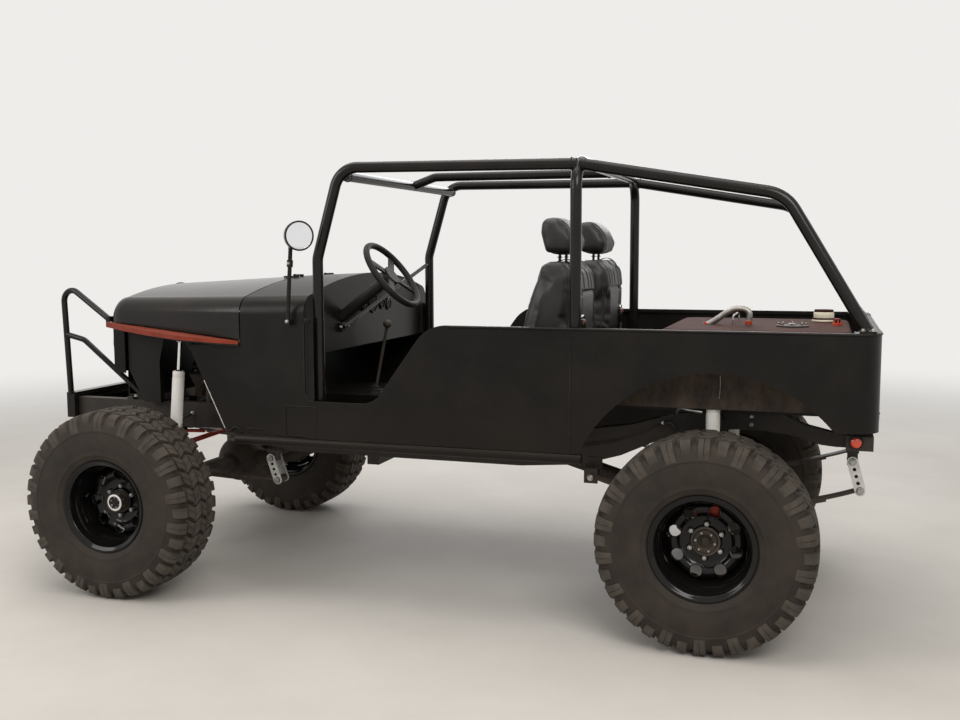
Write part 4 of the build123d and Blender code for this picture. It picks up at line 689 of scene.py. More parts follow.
def drilled_disc(holes_at):
    """The disc with its holes cut, in millimetres."""
    disc = Shape("rim")
    disc.lathe(DISC, (0, 0, 0), ACROSS, steps=120, closed=True)
    disc_piece = solid_mesh(disc, "disc_blank")
    holes = Shape("rim")
    for spot in holes_at:
        holes.lathe([(-40, TINY), (-40, HOLE_R), (40, HOLE_R), (40, TINY)], spot, ACROSS, 32)
    cutter = solid_mesh(holes, "disc_holes")
    cut = disc_piece.modifiers.new("holes", "BOOLEAN")
    cut.object = cutter
    cut.operation = "DIFFERENCE"
    cut.solver = "EXACT"
    bpy.context.view_layer.update()
    graph = bpy.context.evaluated_depsgraph_get()
    drilled = bpy.data.meshes.new_from_object(disc_piece.evaluated_get(graph))
    for extra in (disc_piece, cutter):
        bpy.data.objects.remove(extra)
    drilled.transform(Matrix.Scale(1000, 4))
    return drilled


def build_rim_mesh(first_hole):
    shape = Shape("rim")
    shape.bm.from_mesh(drilled_disc(circle((0, 0, 0), HOLE_CIRCLE, HOLES, "xz", first_hole)))
    shape.faces(shape.bm.faces)
    shape.lathe(BARREL, (0, 0, 0), ACROSS, steps=160, closed=True)
    lip = [(0.6 + 2.0 * math.sin(t), HOLE_R + 1.6 + 1.8 * math.cos(t)) for t in turns(8)]
    for spot in circle((0, LIP_Y, 0), HOLE_CIRCLE, HOLES, "xz", first_hole):
        shape.lathe(lip, spot, ACROSS, 28, closed=True)
    for x, y, z in circle((0, NUT_SEAT_Y, 0), NUT_CIRCLE, NUTS, "xz", NUT_FIRST):
        shape.use("rim")
        shape.lathe([(0, 9), (0, 14.5), (3, 12.5), (4, 11)], (x, y, z), ACROSS, 24)
        shape.use("zinc")
        shape.bolt((x, y + 2, z), ACROSS, across=19, height=17, washer=False, stud=6)
    shape.use("hose")
    shape.tube([(150, 42, 30), (141, 62, 28), (137, 74, 27)], 4.2, sides=10)
    return shape.mesh("rim_left_mesh", local=True, crease=40)


def build_hub(end):
    """Left hub: locking hub with its chrome ring in front, axle flange behind."""
    shape = Shape("chrome")
    if end == "front":
        shape.lathe([(0, 38.2), (30, 38.2), (32, 43), (46, 43), (51, 41), (53, 37), (53, 30), (50, 28.5),
                     (42, 28.5)], (0, 0, 0), ACROSS, 64)
        shape.use("gloss")
        shape.lathe([(43, 28.8), (43, 16), (45, 14), (45, TINY)], (0, 0, 0), ACROSS, 48)
        shape.block((-17, 43, -4), (17, 50, 4), 1.5)
        shape.use("zinc")
        screws = circle((0, 43, 0), 22.5, 6, "xz", 20)
        head = {"across": 6, "height": 3}
    else:
        shape.use("cast")
        shape.lathe([(9, 47.3), (12.6, 48.5), (15.5, 50), (16, 56), (14, 59), (6, 60.5)], (0, 0, 0), ACROSS,
                    64)
        shape.use("axle")
        shape.lathe([(22.3, 46.6), (23, 44), (24, 34), (22, 31), (7.2, 29.8), (7.2, 18), (14, 15),
                     (14, TINY)], (0, 0, 0), ACROSS, 48)
        shape.use("steel")
        screws = circle((0, 23, 0), 38.5, 6, "xz", 8)
        head = {"across": 9, "height": 5}
    for spot in screws:
        shape.bolt(spot, ACROSS, washer=False, **head)
    return shape.mesh(f"hub_{end}_mesh", local=True)


def build_wheels():
    tyre = build_tyre_mesh()
    tyre_right = mirrored_mesh(tyre, "tyre_right_mesh")
    for end, x, first_hole in (("front", AXLE_X, 0.0), ("rear", -AXLE_X, REAR_TURN)):
        rim = build_rim_mesh(first_hole)
        hub = build_hub(end)
        meshes = {"left": (tyre, rim, hub),
                  "right": (tyre_right, mirrored_mesh(rim, f"rim_{end}_right_mesh"),
                            mirrored_mesh(hub, f"hub_{end}_right_mesh"))}
        for side, way in SIDES:
            body = f"wheel_{end}_{side}"
            place = Matrix.Translation(at(x, way * HUB_Y[end], HUB_Z))
            tyre_mesh, rim_mesh, hub_mesh = meshes[side]
            put(f"tyre_{end}_{side}_tread", tyre_mesh, body, (f"tyre_{end}_{side}",), place)
            put(f"rim_{end}_{side}_disc", rim_mesh, body, (f"rim_{end}_{side}",), place)
            put(f"hub_{end}_{side}", hub_mesh, body, (), place)


# Shocks: bushed eyes, white body and chrome rod
# top eye, foot eye and the share of the length at which the rod leaves the body
SHOCKS = {
    "front": ((1178, 590, 1188), (1243, 590, 492), 0.766),
    "rear": ((-AXLE_X, 540, 1050), (-AXLE_X, 540, 500), 0.836),
}
EYE_RING = [(-17, 18), (-17.5, 20), (-15, 21.6), (15, 21.6), (17.5, 20), (17, 18)]
EYE_BUSH = [(-17.5, 18.5), (-20, 17), (-20, 11.5), (20, 11.5), (20, 17), (17.5, 18.5)]
WIRE_R = 1.3
LOOSE_END = [(1208, 559, 742), (1226, 545, 716), (1262, 548, 722), (1290, 566, 748)]


def build_shock(end, side, top, foot, split):
    axis = top - foot
    span = axis.length
    seat = span * split
    shape = Shape("white")
    shape.lathe([(19, TINY), (19, 21), (22, 25), (27, 28), (34, 28.8), (seat - 34, 28.8), (seat - 30, 27.2),
                 (seat - 26, 28.8), (seat - 8, 28.8), (seat - 3, 27), (seat, 22), (seat, 11)], foot, axis, 40)
    shape.use("rubber")
    shape.lathe([(seat - 1, 16), (seat + 4, 15), (seat + 6, 11.5), (seat + 6, 9)], foot, axis, 32)
    shape.use("chrome")
    shape.lathe([(seat - 4, 9.6), (span - 26, 9.6), (span - 24, 12.5), (span - 15, 12.5)], foot, axis, 32)
    for eye in (top, foot):
        shape.use("white")
        shape.lathe(EYE_RING, eye, ACROSS, 32)
        shape.use("rubber")
        shape.lathe(EYE_BUSH, eye, ACROSS, 32)
    shape.done(f"shock_{end}_{side}_body", "chassis", (f"shock_{end}_{side}",), "shock_white")


def build_shocks():
    for end, (top, foot, split) in SHOCKS.items():
        for side, way in SIDES:
            mirror = Vector((1, way, 1))
            build_shock(end, side, Vector(top) * mirror, Vector(foot) * mirror, split)


def build_wire_tie():
    """Steel wire that holds the left front shock back."""
    top, foot = (Vector(eye) for eye in SHOCKS["front"][:2])
    shape = Shape("steel")
    coil = []
    for n in range(61):
        a = 2 * math.pi * n / 20
        mid = foot + (top - foot) * (0.36 + 0.012 * math.sin(n * 0.37) + 0.0006 * n)
        coil.append(mid + Vector((math.cos(a), math.sin(a), 0.10 * math.sin(a * 2))) * 30.6)
    coil += [(1300, 560, 700), (1352, 520, 640), (1390, 500, 590), (1392, 480, 560)]
    shape.tube(coil, WIRE_R, sides=8, smooth=2)
    shape.tube(LOOSE_END, WIRE_R, sides=8, smooth=6)
    shape.done("shock_wire", "chassis")


# Seats: padded leather on a steel frame; outlines are (x, z)
SEAT_Y = 350.0
CUSHION_HALF, BACK_HALF, HEADREST_HALF = 226, 212, 140
CUSHION = [
    (-580, 905), (-566, 890), (-100, 890), (-82, 910), (-80, 960), (-100, 1004), (-150, 1010), (-560, 985),
    (-582, 960),
]
BACK = [
    (-585, 990), (-492, 990), (-530, 1200), (-590, 1490), (-606, 1545), (-640, 1562), (-700, 1560),
    (-742, 1520), (-752, 1440), (-748, 1220), (-690, 1060),
]
HEADREST = [
    (-714, 1586), (-606, 1586), (-582, 1676), (-588, 1724), (-608, 1740), (-658, 1738), (-706, 1694),
    (-734, 1634),
]
CUSHION_CHANNELS = (-210, -290, -370, -450, -530)
BACK_CHANNELS = (1100, 1180, 1260, 1340, 1420)
BACK_PLEATS = (0.045, 0.105, 0.155)
# padding rolls under the leather, with y from the seat's middle
CUSHION_BOLSTER = [(-560, 192, 968), (-330, 196, 985), (-118, 186, 978)]
CUSHION_NOSE = [(-128, -185, 960), (-118, 0, 964), (-128, 185, 960)]
BACK_BOLSTER = [(-520, 186, 1040), (-545, 192, 1220), (-600, 184, 1430), (-650, 150, 1520)]
CUSHION_BOLSTER_R, CUSHION_NOSE_R, BACK_BOLSTER_R = 42, 44, 38
CHANNEL_DEPTH, CHANNEL_WIDTH = 0.009, 0.0065
VOXEL, PRESSURE, CLOTH_FRAMES, SMOOTHINGS = 0.008, 4.0, 20, 3
SEAT_RAILS = (SEAT_Y - 176, SEAT_Y + 172)
SEAT_FEET = (-505, -155)
RECLINER = (-600, 985)


def rounded_slab(shape, outline, half, inset=16.0):
    """Closed slab from an XZ outline with its two faces drawn in, ready to be remeshed."""
    mid = Vector((sum(x for x, _ in outline) / len(outline), 0, sum(z for _, z in outline) / len(outline)))
    y0, y1 = SEAT_Y - half, SEAT_Y + half
    rows = []
    for y, grow in ((y0, inset), (y0 + inset * 0.4, inset * 0.3), (y0 + inset, 0), (y1 - inset, 0),
                    (y1 - inset * 0.4, inset * 0.3), (y1, inset)):
        row = []
        for x, z in outline:
            way = Vector((x, 0, z)) - mid
            way = way - way.normalized() * grow
            row.append(Vector((mid.x + way.x, y, mid.z + way.z)))
        rows.append(row)
    shape.grid(rows, wrap_points=True, caps=True)


def bolster(shape, points, radius):
    shape.tube([(x, SEAT_Y + y, z) for x, y, z in points], radius, sides=20, smooth=6)


def evaluated_mesh(piece):
    return bpy.data.meshes.new_from_object(piece.evaluated_get(bpy.context.evaluated_depsgraph_get()))


def puffed(shape, name, cap=0.010):
    """Voxel remesh, then pressure in the cloth solver, with each point's travel capped."""
    blank = bpy.data.objects.new(name + "_blank", shape.mesh(name + "_blank"))
    bpy.context.collection.objects.link(blank)
    remesh = blank.modifiers.new("voxels", "REMESH")
    remesh.mode = "VOXEL"
    remesh.voxel_size = VOXEL
    bpy.context.view_layer.update()
    mesh = evaluated_mesh(blank)
    bpy.data.objects.remove(blank)
    rest = [v.co.copy() for v in mesh.vertices]
    body = bpy.data.objects.new(name + "_soft", mesh)
    bpy.context.collection.objects.link(body)
    cloth = body.modifiers.new("cloth", "CLOTH")
    cloth.settings.use_pressure = True
    cloth.settings.uniform_pressure_force = PRESSURE
    cloth.settings.effector_weights.gravity = 0.0
    cloth.settings.quality = 4
    cloth.collision_settings.use_collision = False
    scene = bpy.context.scene
    for n in range(1, CLOTH_FRAMES + 1):
        scene.frame_set(n)
    made = evaluated_mesh(body)
    scene.frame_set(1)
    bpy.data.objects.remove(body)
    for old, v in zip(rest, made.vertices):
        move = v.co - old
        if move.length > cap:
            v.co = old + move.normalized() * cap
    mesh = made
    out = bmesh.new()
    out.from_mesh(mesh)
    for _ in range(SMOOTHINGS):
        bmesh.ops.smooth_vert(out, verts=out.verts, factor=0.5, use_axis_x=True, use_axis_y=True,
                              use_axis_z=True)
    return out


def press_lines(soft, lines, depth=CHANNEL_DEPTH, width=CHANNEL_WIDTH):
    """Sewn channels: each line is a function that gives a point's distance from it in metres, or None."""
    soft.normal_update()
    moves = []
    for v in soft.verts:
        push = 0.0
        for line in lines:
            far = line(v.co)
            if far is not None:
                push = max(push, depth * math.exp(-(far / width) ** 2))
        moves.append((v, v.normal * push))
    for v, move in moves:
        v.co -= move


def off_middle(p):
    """Distance of a frame point from the seat's middle plane, in metres."""
    return abs(p.y - SEAT_Y / 1000)


def frame_x(p):
    """Station of a frame point."""
    return p.x * 1000 - SHIFT_X


def cushion_pad():
    shape = Shape("leather")
    rounded_slab(shape, CUSHION, CUSHION_HALF)
    for way in (-1, 1):
        bolster(shape, sided(CUSHION_BOLSTER, way), CUSHION_BOLSTER_R)
    bolster(shape, CUSHION_NOSE, CUSHION_NOSE_R)
    soft = puffed(shape, "cushion")

    def channel(x_line):
        return lambda p: abs(frame_x(p) - x_line) / 1000 if off_middle(p) < 0.148 and p.z > 0.95 else None

    def side_seam(p):
        return abs(off_middle(p) - 0.152) if p.z > 0.96 and -0.56 < p.x < -0.11 else None

    press_lines(soft, [channel(x) for x in CUSHION_CHANNELS] + [side_seam])
    return soft


def back_pad():
    shape = Shape("leather")
    rounded_slab(shape, BACK, BACK_HALF, 22)
    for way in (-1, 1):
        bolster(shape, sided(BACK_BOLSTER, way), BACK_BOLSTER_R)
    soft = puffed(shape, "back", cap=0.012)

    def channel(z_line):
        def line(p):
            return abs(p.z * 1000 - z_line) / 1000 if off_middle(p) < 0.135 and frame_x(p) > -640 else None
        return line

    def pleat(offset):
        return lambda p: abs(off_middle(p) - offset) if p.z > 1.43 else None

    def rear_panel(p):
        if frame_x(p) > -690 or p.z > 1.42:
            return None
        side = abs(off_middle(p) - 0.165)
        return min(side, abs(p.z - 1.415)) if off_middle(p) < 0.17 else side

    press_lines(soft, [channel(z) for z in BACK_CHANNELS] + [pleat(y) for y in BACK_PLEATS] + [rear_panel])
    return soft


def headrest_pad():
    shape = Shape("leather")
    rounded_slab(shape, HEADREST, HEADREST_HALF, 30)
    soft = puffed(shape, "headrest", cap=0.008)
    press_lines(soft, [lambda p: abs(off_middle(p) - 0.098)], 0.006, 0.006)
    return soft


def finish_pad(soft, name, body, fill):
    mesh = bpy.data.meshes.new(name)
    for face in soft.faces:
        face.smooth = True
    soft.to_mesh(mesh)
    soft.free()
    mesh.materials.append(MATS["leather"])
    piece = put(name, mesh, body, ())
    soften = piece.modifiers.new("soften", "SUBSURF")
    soften.levels = 1
    soften.render_levels = 1


def piping(shape, soft, path, lift=0.6):
    """Piping that follows a path drawn down onto the padded surface."""
    tree = BVHTree.FromBMesh(soft)
    line = []
    for p in soft_line([Vector((x, SEAT_Y + y, z)) for x, y, z in path], 8):
        near, normal, _, _ = tree.find_nearest(at(*p))
        spot = near + normal * lift / 1000
        line.append(Vector((frame_x(spot), spot.y * 1000, spot.z * 1000)))
    shape.tube(line, 3.0, sides=8)


def seat_frame(cushion, back):
    """Piping, base, rails with feet, headrest posts and recliners of the left seat."""
    shape = Shape("leather")
    for y in (-CUSHION_HALF, CUSHION_HALF):
        piping(shape, cushion, [(-560, y, 985), (-330, y, 1008), (-130, y * 0.96, 1000), (-84, y * 0.9, 930)])
        piping(shape, back, [(-690, y, 1060), (-745, y, 1230), (-742, y * 0.97, 1440), (-700, y * 0.8, 1560)])
    shape.use("frame")
    shape.block((-538, SEAT_Y - 198, 862), (-132, SEAT_Y + 198, 884), 4)
    for y in SEAT_RAILS:
        shape.block((-545, y - 16, 840), (-120, y + 16, 852), 3)
        shape.block((-530, y - 9, 850), (-140, y + 9, 864), 2)
        for x in SEAT_FEET:
            shape.block((x - 15, y - 15, 791), (x + 15, y + 15, 842), 2.5)
            shape.block((x - 26, y - 22, 790.5), (x + 26, y + 22, 794), 1.2)
    shape.use("zinc")
    for y in SEAT_RAILS:
        for x in SEAT_FEET:
            shape.bolt((x + 20, y, 794), UP, across=12, height=6)
    shape.use("gloss")
    for y in (SEAT_Y - 60, SEAT_Y + 60):
        shape.tube([(-655, y, 1545), (-656, y, 1575), (-656, y, 1615)], 6.5, sides=16)
        shape.lathe([(0, 6), (0, 12), (4, 11), (5, 6.6)], (-656, y, 1566), UP, 20)
    x, z = RECLINER
    for y in (SEAT_Y - 236, SEAT_Y + 236):
        shape.block((x - 40, y - 7, z - 60), (x + 40, y + 7, z + 55), 5)
        shape.lathe([(-8, TINY), (-8, 24), (-5, 27), (5, 27), (8, 24), (8, TINY)], (x, y, z), ACROSS, 32)
    return shape


def build_seats():
    pads = {"cushion": (cushion_pad(), 0.75), "back": (back_pad(), 0.75), "headrest": (headrest_pad(), 0.85)}
    for side, way in SIDES:
        for key, (soft, fill) in pads.items():
            copy = soft.copy()
            if way < 0:
                flip_sides(copy)
            finish_pad(copy, f"seat_{side}_{key}", "chassis", fill)
        shape = seat_frame(pads["cushion"][0], pads["back"][0])
        if way < 0:
            flip_sides(shape.bm)
        shape.done(f"seat_{side}_frame", "chassis", (f"seat_{side}",), "seat_leather")


# Belts: webbing over the seat back, with a buckle
BELT_Y = SEAT_Y + 88
BELT_WIDTH = 46
BELT_ROUTES = [
    [(-650, 0, 1549), (-700, 0, 1559), (-741, 0, 1526), (-759, 2, 1450), (-765, 4, 1330), (-765, 4, 1290)],
    [(-765, 6, 1262), (-768, 12, 1200), (-764, 20, 1120), (-720, 30, 1010), (-690, 40, 935)],
]


BELT_THICK = 1.6
# look, lowest and highest corner and rounding of the buckle, its button and its tongue
BUCKLE = [
    ("gloss", (-776, BELT_Y - 26, 1232), (-758, BELT_Y + 34, 1300), 5),
    ("red", (-780, BELT_Y - 8, 1280), (-760, BELT_Y + 16, 1294), 2.5),
    ("chrome", (-770, BELT_Y - 24, 1298), (-762, BELT_Y + 30, 1318), 2),
]


def build_belts():
    for side, way in SIDES:
        shape = Shape("band")
        wide = Vector(ACROSS) * BELT_WIDTH / 2
        for route in BELT_ROUTES:
            line = soft_line([Vector((x, BELT_Y + y, z)) for x, y, z in route], 8)
            shape.sheet([[p - wide, p - wide * 0.33, p + wide * 0.33, p + wide] for p in line], BELT_THICK)
        for look, low, high, bevel in BUCKLE:
            shape.use(look)
            shape.block(low, high, bevel)
        if way < 0:
            flip_sides(shape.bm)
        shape.done(f"belt_{side}", "chassis")


# Lamps
HEADLAMP = (1640, 370, 1140)
TAIL_LAMP = (-1898, 690, 859)
RIM_SCREW_R = 92


def build_lamps():
    for side, way in SIDES:
        shape = Shape("chrome")
        x, y, z = HEADLAMP
        spot = (x, way * y, z)
        shape.lathe([(2, 97.5), (16, 97.5), (23, 94), (25, 89), (22, 84.5), (12, 83)], spot, AHEAD, 72)
        shape.use("clear_lens")
        shape.lathe([(13, 83.5), (18, 76), (23, 60), (26, 40), (28, 18), (28.6, TINY)], spot, AHEAD, 64)
        shape.use("zinc")
        for screw in circle((x + 18, way * y, z), RIM_SCREW_R, 2, "yz", 35):
            shape.bolt(screw, AHEAD, across=6, height=3, washer=False)
        shape.done(f"headlamp_{side}")

        shape = Shape("red_lens")
        x, y, z = TAIL_LAMP
        spot, out = (x, way * y, z), (0, way, 0)
        shape.lathe([(12.2, 20.5), (14, 20), (17, 17), (19, 10), (19.5, TINY)], spot, out, 48)
        shape.use("gloss")
        shape.lathe([(1, 25.3), (1, 26.2), (11, 26.2), (13, 24.9), (13.4, 21.6), (12, 20.6)], spot, out, 56)
        shape.done(f"tail_lamp_{side}")


# Mirror: bright glass, rolled shell, stem and its clamp
MIRROR_HEAD = (418, 800, 1665)
MIRROR_OUT = (-0.722, 0.692, 0)
MIRROR_FACE = 10.4
STEM = [(498, 768, 1290), (474, 772, 1612), (430, 792, 1652)]


def build_mirror_glass():
    out = Vector(MIRROR_OUT)
    face = Vector(MIRROR_HEAD) + out * MIRROR_FACE
    shape = Shape("mirror")
    shape.lathe([(0, 59), (1.2, 50), (2.0, 30), (2.3, TINY)], face, out, 64)
    shape.use("gloss")
    shape.lathe([(-32, TINY), (-30, 34), (-24, 56), (-12, 65.2), (0.5, 66), (2.5, 63.5), (2.2, 60), (0, 58)],
                face, out, 64)
    shape.use("dark")
    shape.tube(STEM, 9.2, sides=16, smooth=1)
    shape.lathe([(-16, 9), (-16, 13.5), (14, 13.5), (16, 9)], (479, 771, 1545), (-0.07, 0.01, 1), 28)
    shape.use("zinc")
    shape.bolt((479, 784, 1545), ACROSS, across=10, height=6)
    shape.bolt((498, 776, 1288), ACROSS, across=11, height=6)
    shape.done("mirror_head")


# Radiator: folded fins between flat water tubes
CORE_X, CORE_HALF, CORE_Z = 1583, 280, (884, 1270)
FIN_FOLDS, FIN_DEPTH = 140, 1.5
WATER_TUBES, TUBE_PITCH = 22, 17.4


def build_radiator():
    shape = Shape("alloy")
    rows = []
    for n in range(FIN_FOLDS + 1):
        x = CORE_X + (-FIN_DEPTH if n % 2 else FIN_DEPTH)
        y = -CORE_HALF + 2 * CORE_HALF * n / FIN_FOLDS
        rows.append([Vector((x, y, z)) for z in CORE_Z])
    shape.grid(rows)
    for n in range(WATER_TUBES):
        z = 892 + n * TUBE_PITCH
        shape.block((CORE_X - 1, -CORE_HALF - 1, z - 1.4), (CORE_X + 4, CORE_HALF + 1, z + 1.4), 0.6)
    shape.done("radiator_core", outward=False)


# Fuel cell: knurled filler cap, sender plate, fill pipe and vent line
CELL_Z = 1262
FILLER = (-1765, -280, CELL_Z)
SENDER = (-1635, 130, CELL_Z)
VENT_CAP = (-1822, 0, CELL_Z)
KNURLS, KNURL_R = 24, 44.6
FILL_PIPE = [(-1262, 60, 1258), (-1300, 60, 1281), (-1375, 60, 1330), (-1442, 60, 1322), (-1444, 60, CELL_Z)]
VENT_LINE = [
    (-1375, 52, CELL_Z), (-1375, 40, 1296), (-1376, -120, 1300), (-1376, -260, 1300), (-1376, -275, 1264),
]


def build_cell_top():
    shape = Shape("cream")
    shape.lathe([(0, 53.5), (3, 54), (8, 52), (10, 46), (11, 45), (40, 45), (43, 43), (45, 38), (45.5, TINY)],
                FILLER, UP, 56)
    for x, y, z in circle(FILLER, KNURL_R, KNURLS, "xy"):
        shape.block((x - 1.6, y - 1.6, z + 16), (x + 1.6, y + 1.6, z + 38), 0.7)
    shape.use("dark")
    shape.lathe([(0, 71), (4.5, 71), (5.5, 70), (5.5, TINY)], SENDER, UP, 64)
    shape.use("steel")
    shape.lathe([(5, 16), (12, 16), (14, 13), (14, TINY)], SENDER, UP, 32)
    for x, y, z in circle(SENDER, 58, 8, "xy"):
        shape.bolt((x, y, z + 5.5), UP, across=11, height=6, stud=5)
    shape.tube(FILL_PIPE, 14, sides=20, smooth=5)
    shape.use("link")
    shape.lathe([(-4, 17), (10, 17), (12, 15), (12, 13)], (-1444, 60, 1268), UP, 6)
    shape.lathe([(0, 21), (9, 21), (10, 18), (24, 16.8), (29, 14), (29, TINY)], VENT_CAP, UP, 6)
    shape.lathe([(-3, 17), (12, 17), (14, 14), (14, 11)], (-1262, 60, 1264), (0.55, 0, -0.83), 6)
    shape.use("steel")
    shape.tube(VENT_LINE, 4, sides=10, smooth=6)
    shape.done("fuel_cell_fittings")


# Body: weld beads at the panels' joints, door edges, rocker ends and the rolled rail of the tub
SKIN_Y, COWL_Y = 750.6, 743
RAIL_Z = 1276.0
# look, radius and points of each bead on the left side
BEADS = [
    ("body", 3.0, [(-785, SKIN_Y, 770), (-785, SKIN_Y, 1280)]),
    ("body", 2.4, [(377, SKIN_Y, 765), (377, SKIN_Y, 916)]),
    ("body", 2.4, [(532, COWL_Y, 765), (532, COWL_Y, 905)]),
    ("body", 2.4, [(377, SKIN_Y, 905), (454, 748.6, 905), (532, COWL_Y, 905)]),
    ("gloss", 4.2, [(430, SKIN_Y, 960), (429, SKIN_Y, 1290)]),
    ("gloss", 2.4, [(416, SKIN_Y, 962), (415, SKIN_Y, 1280)]),
    ("gloss", 4.2, [(430, SKIN_Y, 960), (422, SKIN_Y, 942), (405, SKIN_Y, 931), (385, SKIN_Y, 928)]),
]
RAIL_CORNER = [(-1880, 749), (-1936, 738), (-1968, 706), (-1979, 650)]
RAIL = [(x, y, RAIL_Z) for x, y in [(-245, 749), *RAIL_CORNER, (-1979, 525)]]
EDGE_STRIP = [(967, 722.5, 1002), (861, 722.5, 780)]
ROLLED_LIP = [(861, 722.5, 778), (838, 728, 770), (806, 729, 790), (786, 727, 784), (775, 724, 764)]


def build_body_trim():
    shape = Shape("body")
    for way in WAYS:
        for look, radius, points in BEADS:
            shape.use(look)
            shape.tube(sided(points, way), radius, sides=8)
        shape.use("body")
        shape.block((398, way * 750 - 3, 1276), (426, way * 750 + 5, 1302), 3)
        shape.use("steel")
        shape.tube(sided(EDGE_STRIP, way), 3.2, sides=10)
        shape.use("body")
        shape.tube(sided(ROLLED_LIP, way), 5.5, sides=10, smooth=5)
    for way in WAYS:
        shape.tube(sided(RAIL, way), 5.2)
    shape.done("body_seams")


# Cage: weld beads where tubes meet and bolts in the foot plates
CAGE_TUBE_R, BAR_R, BRACE_R = 24, 22, 11
# centre, axis and radius of the welds on the left side, which the right side has too
CAGE_WELDS = [
    ((242, 666, 1924), ACROSS, BAR_R),
    ((-766, 661, 1952), AHEAD, CAGE_TUBE_R),
    ((-820, 660, 1947), (-0.98, 0, -0.16), CAGE_TUBE_R),
    ((384, 690, 799), UP, CAGE_TUBE_R),
    ((-792, 690, 934), UP, CAGE_TUBE_R),
    ((-1921, 694, 1292), (-0.5, 0, -0.86), CAGE_TUBE_R + 1),
]
BEAD_SIZE, SMALL_BEAD = 3.4, 2.6
# the centre bar's two ends, and the end of the dash brace
SINGLE_WELDS = [
    ((240, -100, 1926), (0.94, 0, -0.34), BAR_R, BEAD_SIZE),
    ((-770, -100, 1964), AHEAD, BAR_R, BEAD_SIZE),
    ((384, -668, 1528), (0, 1, -0.27), BRACE_R, SMALL_BEAD),
]
PLATE_EDGE = (13, 11)
# lowest and highest x, then y, of each foot plate, and the height of its top
FOOT_PLATES = [(330, 438, 640, 722, 798), (-846, -738, 640, 742, 933), (-1958, -1896, 660, 728, 1290)]


def weld_ring(shape, centre, axis, radius, size=BEAD_SIZE):
    """Stacked-coin weld bead round a tube."""
    axis, spoke = spokes(axis)
    rows = []
    for n, a in enumerate(turns(72)):
        swell = size * (1.0 + 0.16 * (n % 3))
        row = [(radius + swell * 0.75 * math.cos(b), swell * math.sin(b)) for b in turns(8)]
        rows.append([Vector(centre) + spoke(a) * out + axis * along for out, along in row])
    shape.grid(rows, wrap_rows=True, wrap_points=True)


def build_cage_trim():
    shape = Shape("gloss")
    for way in WAYS:
        for (x, y, z), axis, radius in CAGE_WELDS:
            weld_ring(shape, (x, way * y, z), axis, radius)
    for weld in SINGLE_WELDS:
        weld_ring(shape, *weld)
    shape.use("zinc")
    dx, dy = PLATE_EDGE
    for way in WAYS:
        for x0, x1, y0, y1, z in FOOT_PLATES:
            for x in (x0 + dx, x1 - dx):
                for y in (y0 + dy, y1 - dy):
                    shape.bolt((x, way * y, z), UP, across=13, height=7)
    shape.done("cage_welds")


# Rear arch: rust-streaked wheelhouse, rail bolts, hose and wire
ARCH_X, ARCH_Z, ARCH_R = -1362.5, 525.0, 595.5
LINER = 0.6
WALL_Y = 576.4
WALL_Z, WALL_STEP = 947, 14.2
LINER_Y = (578, 620, 660, 700, 742)
LINER_START, LINER_SPAN = 42.5, 95.0
ARCH_WIRE = [(-1372, 578, 1088), (-1373, 579, 1040), (-1369, 580, 992)]
ARCH_HOSE = [(-1180, 430, 905), (-1205, 520, 938), (-1252, 552, 936), (-1300, 556, 930)]
BRAKE_HOSE_R = 6.5


def build_wheelhouses():
    for side, way in SIDES:
        shape = Shape("streaks")
        rows = []
        for n in range(13):
            z = WALL_Z + WALL_STEP * n
            reach = math.sqrt(max(ARCH_R ** 2 - (z - ARCH_Z) ** 2, 1.0))
            rows.append([Vector((ARCH_X + reach * (k / 16 - 1), way * WALL_Y, z)) for k in range(33)])
        shape.sheet(rows, LINER)
        rows = []
        for n in range(49):
            a = math.radians(LINER_START + LINER_SPAN * n / 48)
            rows.append([Vector((ARCH_X + ARCH_R * math.cos(a), way * y, ARCH_Z + ARCH_R * math.sin(a)))
                         for y in LINER_Y])
        shape.sheet(rows, LINER)
        shape.use("steel")
        shape.tube(sided(ARCH_WIRE, way), WIRE_R, sides=8, smooth=4)
        for z in (900, 866):
            shape.bolt((-1489.5, way * 420, z), (0, way, 0), across=13, height=8)
        shape.use("alloy")
        shape.tube(sided(ARCH_HOSE, way), BRAKE_HOSE_R, smooth=6)
        shape.done(f"wheelhouse_{side}")


# Springs: nuts on the plates, clips round the leaves, hex heads on the shackles
# axle station, then (x, z) of the fixed eye, of the shackle's pivot and of the spring's free eye
SPRINGS = {
    "front": (AXLE_X, (1885.0, 560.0), (757.0, 602.0), (722.0, 498.0)),
    "rear": (-AXLE_X, (-820.0, 612.0), (-1893.0, 745.0), (-1925.0, 628.0)),
}
SPRING_Y = 460.0
LEAF_MID_Z = 523.0
CLIP_SHARE = 0.62
U_BOLT_X, U_BOLT_Y, PLATE_Z = 48, 39, 541
# shares of the way down the shackle at which its plate has a hole, drawn as a thin dark disc on the plate:
# painted shade in place of the opening
SHACKLE_HOLE_SHADES = (0.26, 0.5, 0.74)
SHACKLE_FACE = 37
# corners of a leaf clip's two cheeks and its base, from the middle of the leaves
CLIP = [
    ((-13, -33.5, -18), (13, -30.3, 7)),
    ((-13, 30.3, -18), (13, 33.5, 7)),
    ((-13, -33.5, -19), (13, 33.5, -15.5)),
]


def arc_through(a, m, b):
    """Centre and radius of the arc through three (x, z) points."""
    (ax, az), (mx, mz), (bx, bz) = a, m, b
    d = 2 * (ax * (mz - bz) + mx * (bz - az) + bx * (az - mz))
    a2, m2, b2 = ax * ax + az * az, mx * mx + mz * mz, bx * bx + bz * bz
    cx = (a2 * (mz - bz) + m2 * (bz - az) + b2 * (az - mz)) / d
    cz = (a2 * (bx - mx) + m2 * (ax - bx) + b2 * (mx - ax)) / d
    return cx, cz, math.hypot(ax - cx, az - cz)


